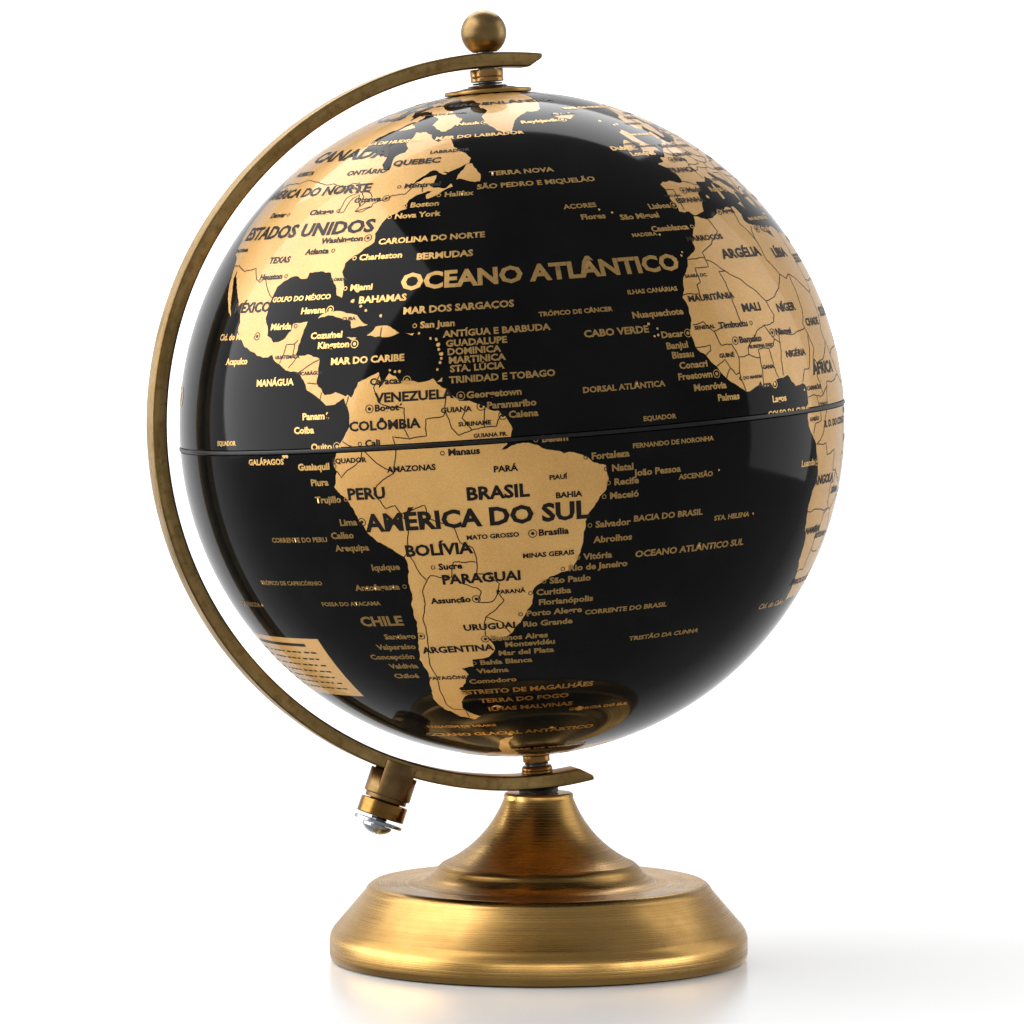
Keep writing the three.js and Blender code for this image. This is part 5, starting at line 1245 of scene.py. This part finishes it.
def lay_names(bm, names):
    """Wraps text objects onto the globe along their parallels, into one bmesh."""
    bpy.context.view_layer.update()
    depsgraph = bpy.context.evaluated_depsgraph_get()
    for thing, longitude, latitude, shift in names:
        flat = thing.evaluated_get(depsgraph).to_mesh()
        level = math.cos(math.radians(latitude))
        spots = []
        for vert in flat.vertices:
            east = math.degrees((vert.co.x * LETTER_STRETCH + shift) / RADIUS / level)
            north = math.degrees(vert.co.y / RADIUS)
            spots.append(bm.verts.new(on_globe(longitude + east, latitude + north, NAME_LIFT)))
        for polygon in flat.polygons:
            bm.faces.new([spots[k] for k in polygon.vertices])
        thing.evaluated_get(depsgraph).to_mesh_clear()
        bpy.data.objects.remove(thing)


is_land_at = land_test([pairs(text) for text in LANDS.values()])
lines = bmesh.new()
for border in border_lines():
    ribbon(lines, wavering(border, False, BORDER_WAVER), BORDER_WIDTH, BORDER_LIFT)

land_text = []
sea_text = []
for names, onto in ((LAND_NAMES, land_text), (SEA_NAMES, sea_text)):
    for text, longitude, latitude, capitals in entries(names):
        onto.append((written(text, float(capitals)), float(longitude), float(latitude), 0))

dark_marks = bmesh.new()
gold_marks = bmesh.new()
for text, longitude, latitude, code in entries(CITIES):
    longitude = float(longitude)
    latitude = float(latitude)
    capital = "c" in code
    side = 1 if "e" in code else -1
    half_width = len(text) * LETTER_HALF
    marks = dark_marks if is_land_at(longitude, latitude) else gold_marks
    if capital:
        ring_mark(marks, longitude, latitude, *CAPITAL_RING)
        ring_mark(marks, longitude, latitude, *CAPITAL_DOT)
    elif "n" not in code:
        ring_mark(marks, longitude, latitude, *TOWN_RING)
    turn_to_middle = (GROUND_GAP + half_width) / RADIUS / math.cos(math.radians(latitude))
    middle_longitude = longitude + side * math.degrees(turn_to_middle)
    onto = land_text if is_land_at(middle_longitude, latitude) else sea_text
    name = written(text, CITY_CAPITALS, "LEFT" if side == 1 else "RIGHT")
    onto.append((name, longitude, latitude, side * (PLAIN_GAP if "n" in code else MARK_GAP)))

# The legend: a heading bar and rows of plain keys, with no words.
for row_number in range(7):
    latitude = KEY_TOP - row_number * KEY_STEP
    ribbon(lines, [(-129.5 + k, latitude) for k in range(5)], 0.9 * MM, KEY_LIFT)
    for stroke in range(9):
        left = -122.5 + stroke * 2.5
        length = 1.9 if (stroke + row_number) % 3 else 1.2
        ribbon(lines, [(left + length * k / 2, latitude) for k in range(3)], 0.55 * MM, KEY_LIFT)
ribbon(lines, [(-126.5 + k, -35.3) for k in range(25)], 1.1 * MM, KEY_LIFT)

lay_names(dark_marks, land_text)
lay_names(gold_marks, sea_text)
for name, bm, material in (
    ("border_lines", lines, dark_ink),
    ("dark_names_and_marks", dark_marks, dark_ink),
    ("gold_names_and_marks", gold_marks, gold_ink),
):
    printed = to_object(name, bm, GLOBE)
    settle(printed, "globe", "gloss_black", material)


# ---- Studio ----

def aimed(made, position, target):
    """Puts a light in the scene, turned towards the target."""
    made.location = position
    way = Vector(target) - Vector(position)
    made.rotation_euler = way.to_track_quat("-Z", "Y").to_euler()
    bpy.context.scene.collection.objects.link(made)
    return made


WHOLE_TARGET = (0, 0, 0.14)
BASE_TARGET = (0, 0, 0.02)


def soft_light(name, right, back, up, width, height, power, only=()):
    """A rectangular light, placed by how far right of, behind and above the object it is for the camera.

    Where some objects are given, the light falls on them alone, as a card that is screened from the rest.
    """
    data = bpy.data.lights.new(name, "AREA")
    data.shape = "RECTANGLE"
    data.size = width
    data.size_y = height
    data.energy = power
    rightward = Vector((math.cos(CAMERA_AZIMUTH), math.sin(CAMERA_AZIMUTH), 0))
    backward = Vector((-math.sin(CAMERA_AZIMUTH), math.cos(CAMERA_AZIMUTH), 0))
    position = rightward * right + backward * back + Vector((0, 0, up))
    target = BASE_TARGET if only else WHOLE_TARGET
    lamp = aimed(bpy.data.objects.new(name, data), position, target)
    if only:
        lit = bpy.data.collections.new(name)
        for lit_object in only:
            lit.objects.link(lit_object)
        lamp.light_linking.receiver_collection = lit


soft_light("key_light", -1.5, -0.15, 0.9, 2.1, 2.2, 50)
soft_light("top_light", -0.2, 1.3, 1.6, 2.0, 1.0, 20)
soft_light("right_light", 1.5, 0.4, 0.6, 1.1, 1.6, 7)
base_objects = [bpy.data.objects["spun_base"]]
soft_light("low_card_left", -1.4, -0.1, 0.1, 1.7, 0.6, 13, base_objects)
soft_light("low_card_right", 1.3, -0.6, 0.0, 1.4, 0.3, 5, base_objects)
soft_light("low_card_front", 0, -1.9, 0.06, 1.8, 0.4, 7, base_objects)

CAMERA_DISTANCE = 1.4
CAMERA_HEIGHT = 0.1938
CAMERA_PITCH = math.radians(87.62)  # from straight down
CAMERA_YAW = math.radians(-15.67)
CAMERA_LENS = 163.1
camera_data = bpy.data.cameras.new("camera")
camera_data.lens = CAMERA_LENS
camera_data.sensor_width = 36
camera_data.clip_start = 0.05
camera = bpy.data.objects.new("camera", camera_data)
camera_right = CAMERA_DISTANCE * math.sin(CAMERA_AZIMUTH)
camera_back = -CAMERA_DISTANCE * math.cos(CAMERA_AZIMUTH)
camera.location = (camera_right, camera_back, CAMERA_HEIGHT)
camera.rotation_euler = (CAMERA_PITCH, 0, CAMERA_YAW)
bpy.context.scene.collection.objects.link(camera)
bpy.context.scene.camera = camera

floor_paint = Paint("floor_white", {"Roughness": 0.2, "Emission Color": (1, 1, 1, 1)})
floor_tone = floor_paint.noise(9, 3)
far_off = floor_paint.vector("LENGTH", floor_paint.place)
# Painted light: the floor glows on its own, faintly near the object and more strongly further off, where it
# reads as plain white.
floor_paint.set("Emission Strength", floor_paint.spread(far_off, 0.1, 1.1, 0.1, 0.65))
floor_paint.set("Base Color", floor_paint.mix(floor_tone, (0.86, 0.86, 0.86, 1), (0.88, 0.88, 0.88, 1)))
floor_bm = bmesh.new()
bmesh.ops.create_grid(floor_bm, x_segments=8, y_segments=8, size=5)
floor = to_object("floor", floor_bm)
floor.visible_glossy = False
floor.data.materials.append(floor_paint.material)

# A pale dome behind everything. Only the camera sees it, and the world lights the object.
DOME_RADIUS = 4900
dome_sockets = {"Roughness": 0.9, "Emission Color": (1, 1, 1, 1), "Emission Strength": 1.0}
dome_paint = Paint("backdrop_white", dome_sockets)
dome_tone = dome_paint.noise(0.4, 2)
dome_paint.set("Base Color", dome_paint.mix(dome_tone, (0.86, 0.86, 0.86, 1), (0.88, 0.88, 0.88, 1)))
dome_rises = [math.radians(3 * i) for i in range(31)]
dome_profile = [(DOME_RADIUS * math.cos(rise), DOME_RADIUS * math.sin(rise)) for rise in dome_rises]
dome = to_object("backdrop", turned(dome_profile, 64))
dome.data.materials.append(dome_paint.material)
dome.visible_glossy = False
dome.visible_diffuse = False
dome.visible_shadow = False

world = bpy.data.worlds.new("studio")
world.use_nodes = True
bpy.context.scene.world = world
tree = world.node_tree
sky = tree.nodes["Background"]
# Brightest behind the object and a little to its left, and dim in front, where the lacquer would mirror it.
direction = tree.nodes.new("ShaderNodeTexCoord").outputs["Generated"]
facing = tree.nodes.new("ShaderNodeVectorMath")
facing.operation = "DOT_PRODUCT"
brightest = CAMERA_AZIMUTH + math.radians(10)
facing.inputs[1].default_value = (-math.sin(brightest), math.cos(brightest), 0.0)
tree.links.new(direction, facing.inputs[0])
fade = tree.nodes.new("ShaderNodeMapRange")
FADE_FROM = 0.45  # cosines of the angle from the brightest direction
FADE_TO = 0.95
DIM = 0.3
BRIGHT = 1.0
for k, value in enumerate((FADE_FROM, FADE_TO, DIM, BRIGHT), 1):
    fade.inputs[k].default_value = value
tree.links.new(facing.outputs["Value"], fade.inputs[0])
tree.links.new(fade.outputs[0], sky.inputs["Strength"])
sky.inputs["Color"].default_value = (1, 1, 1, 1)

bpy.context.scene.view_settings.view_transform = "Standard"
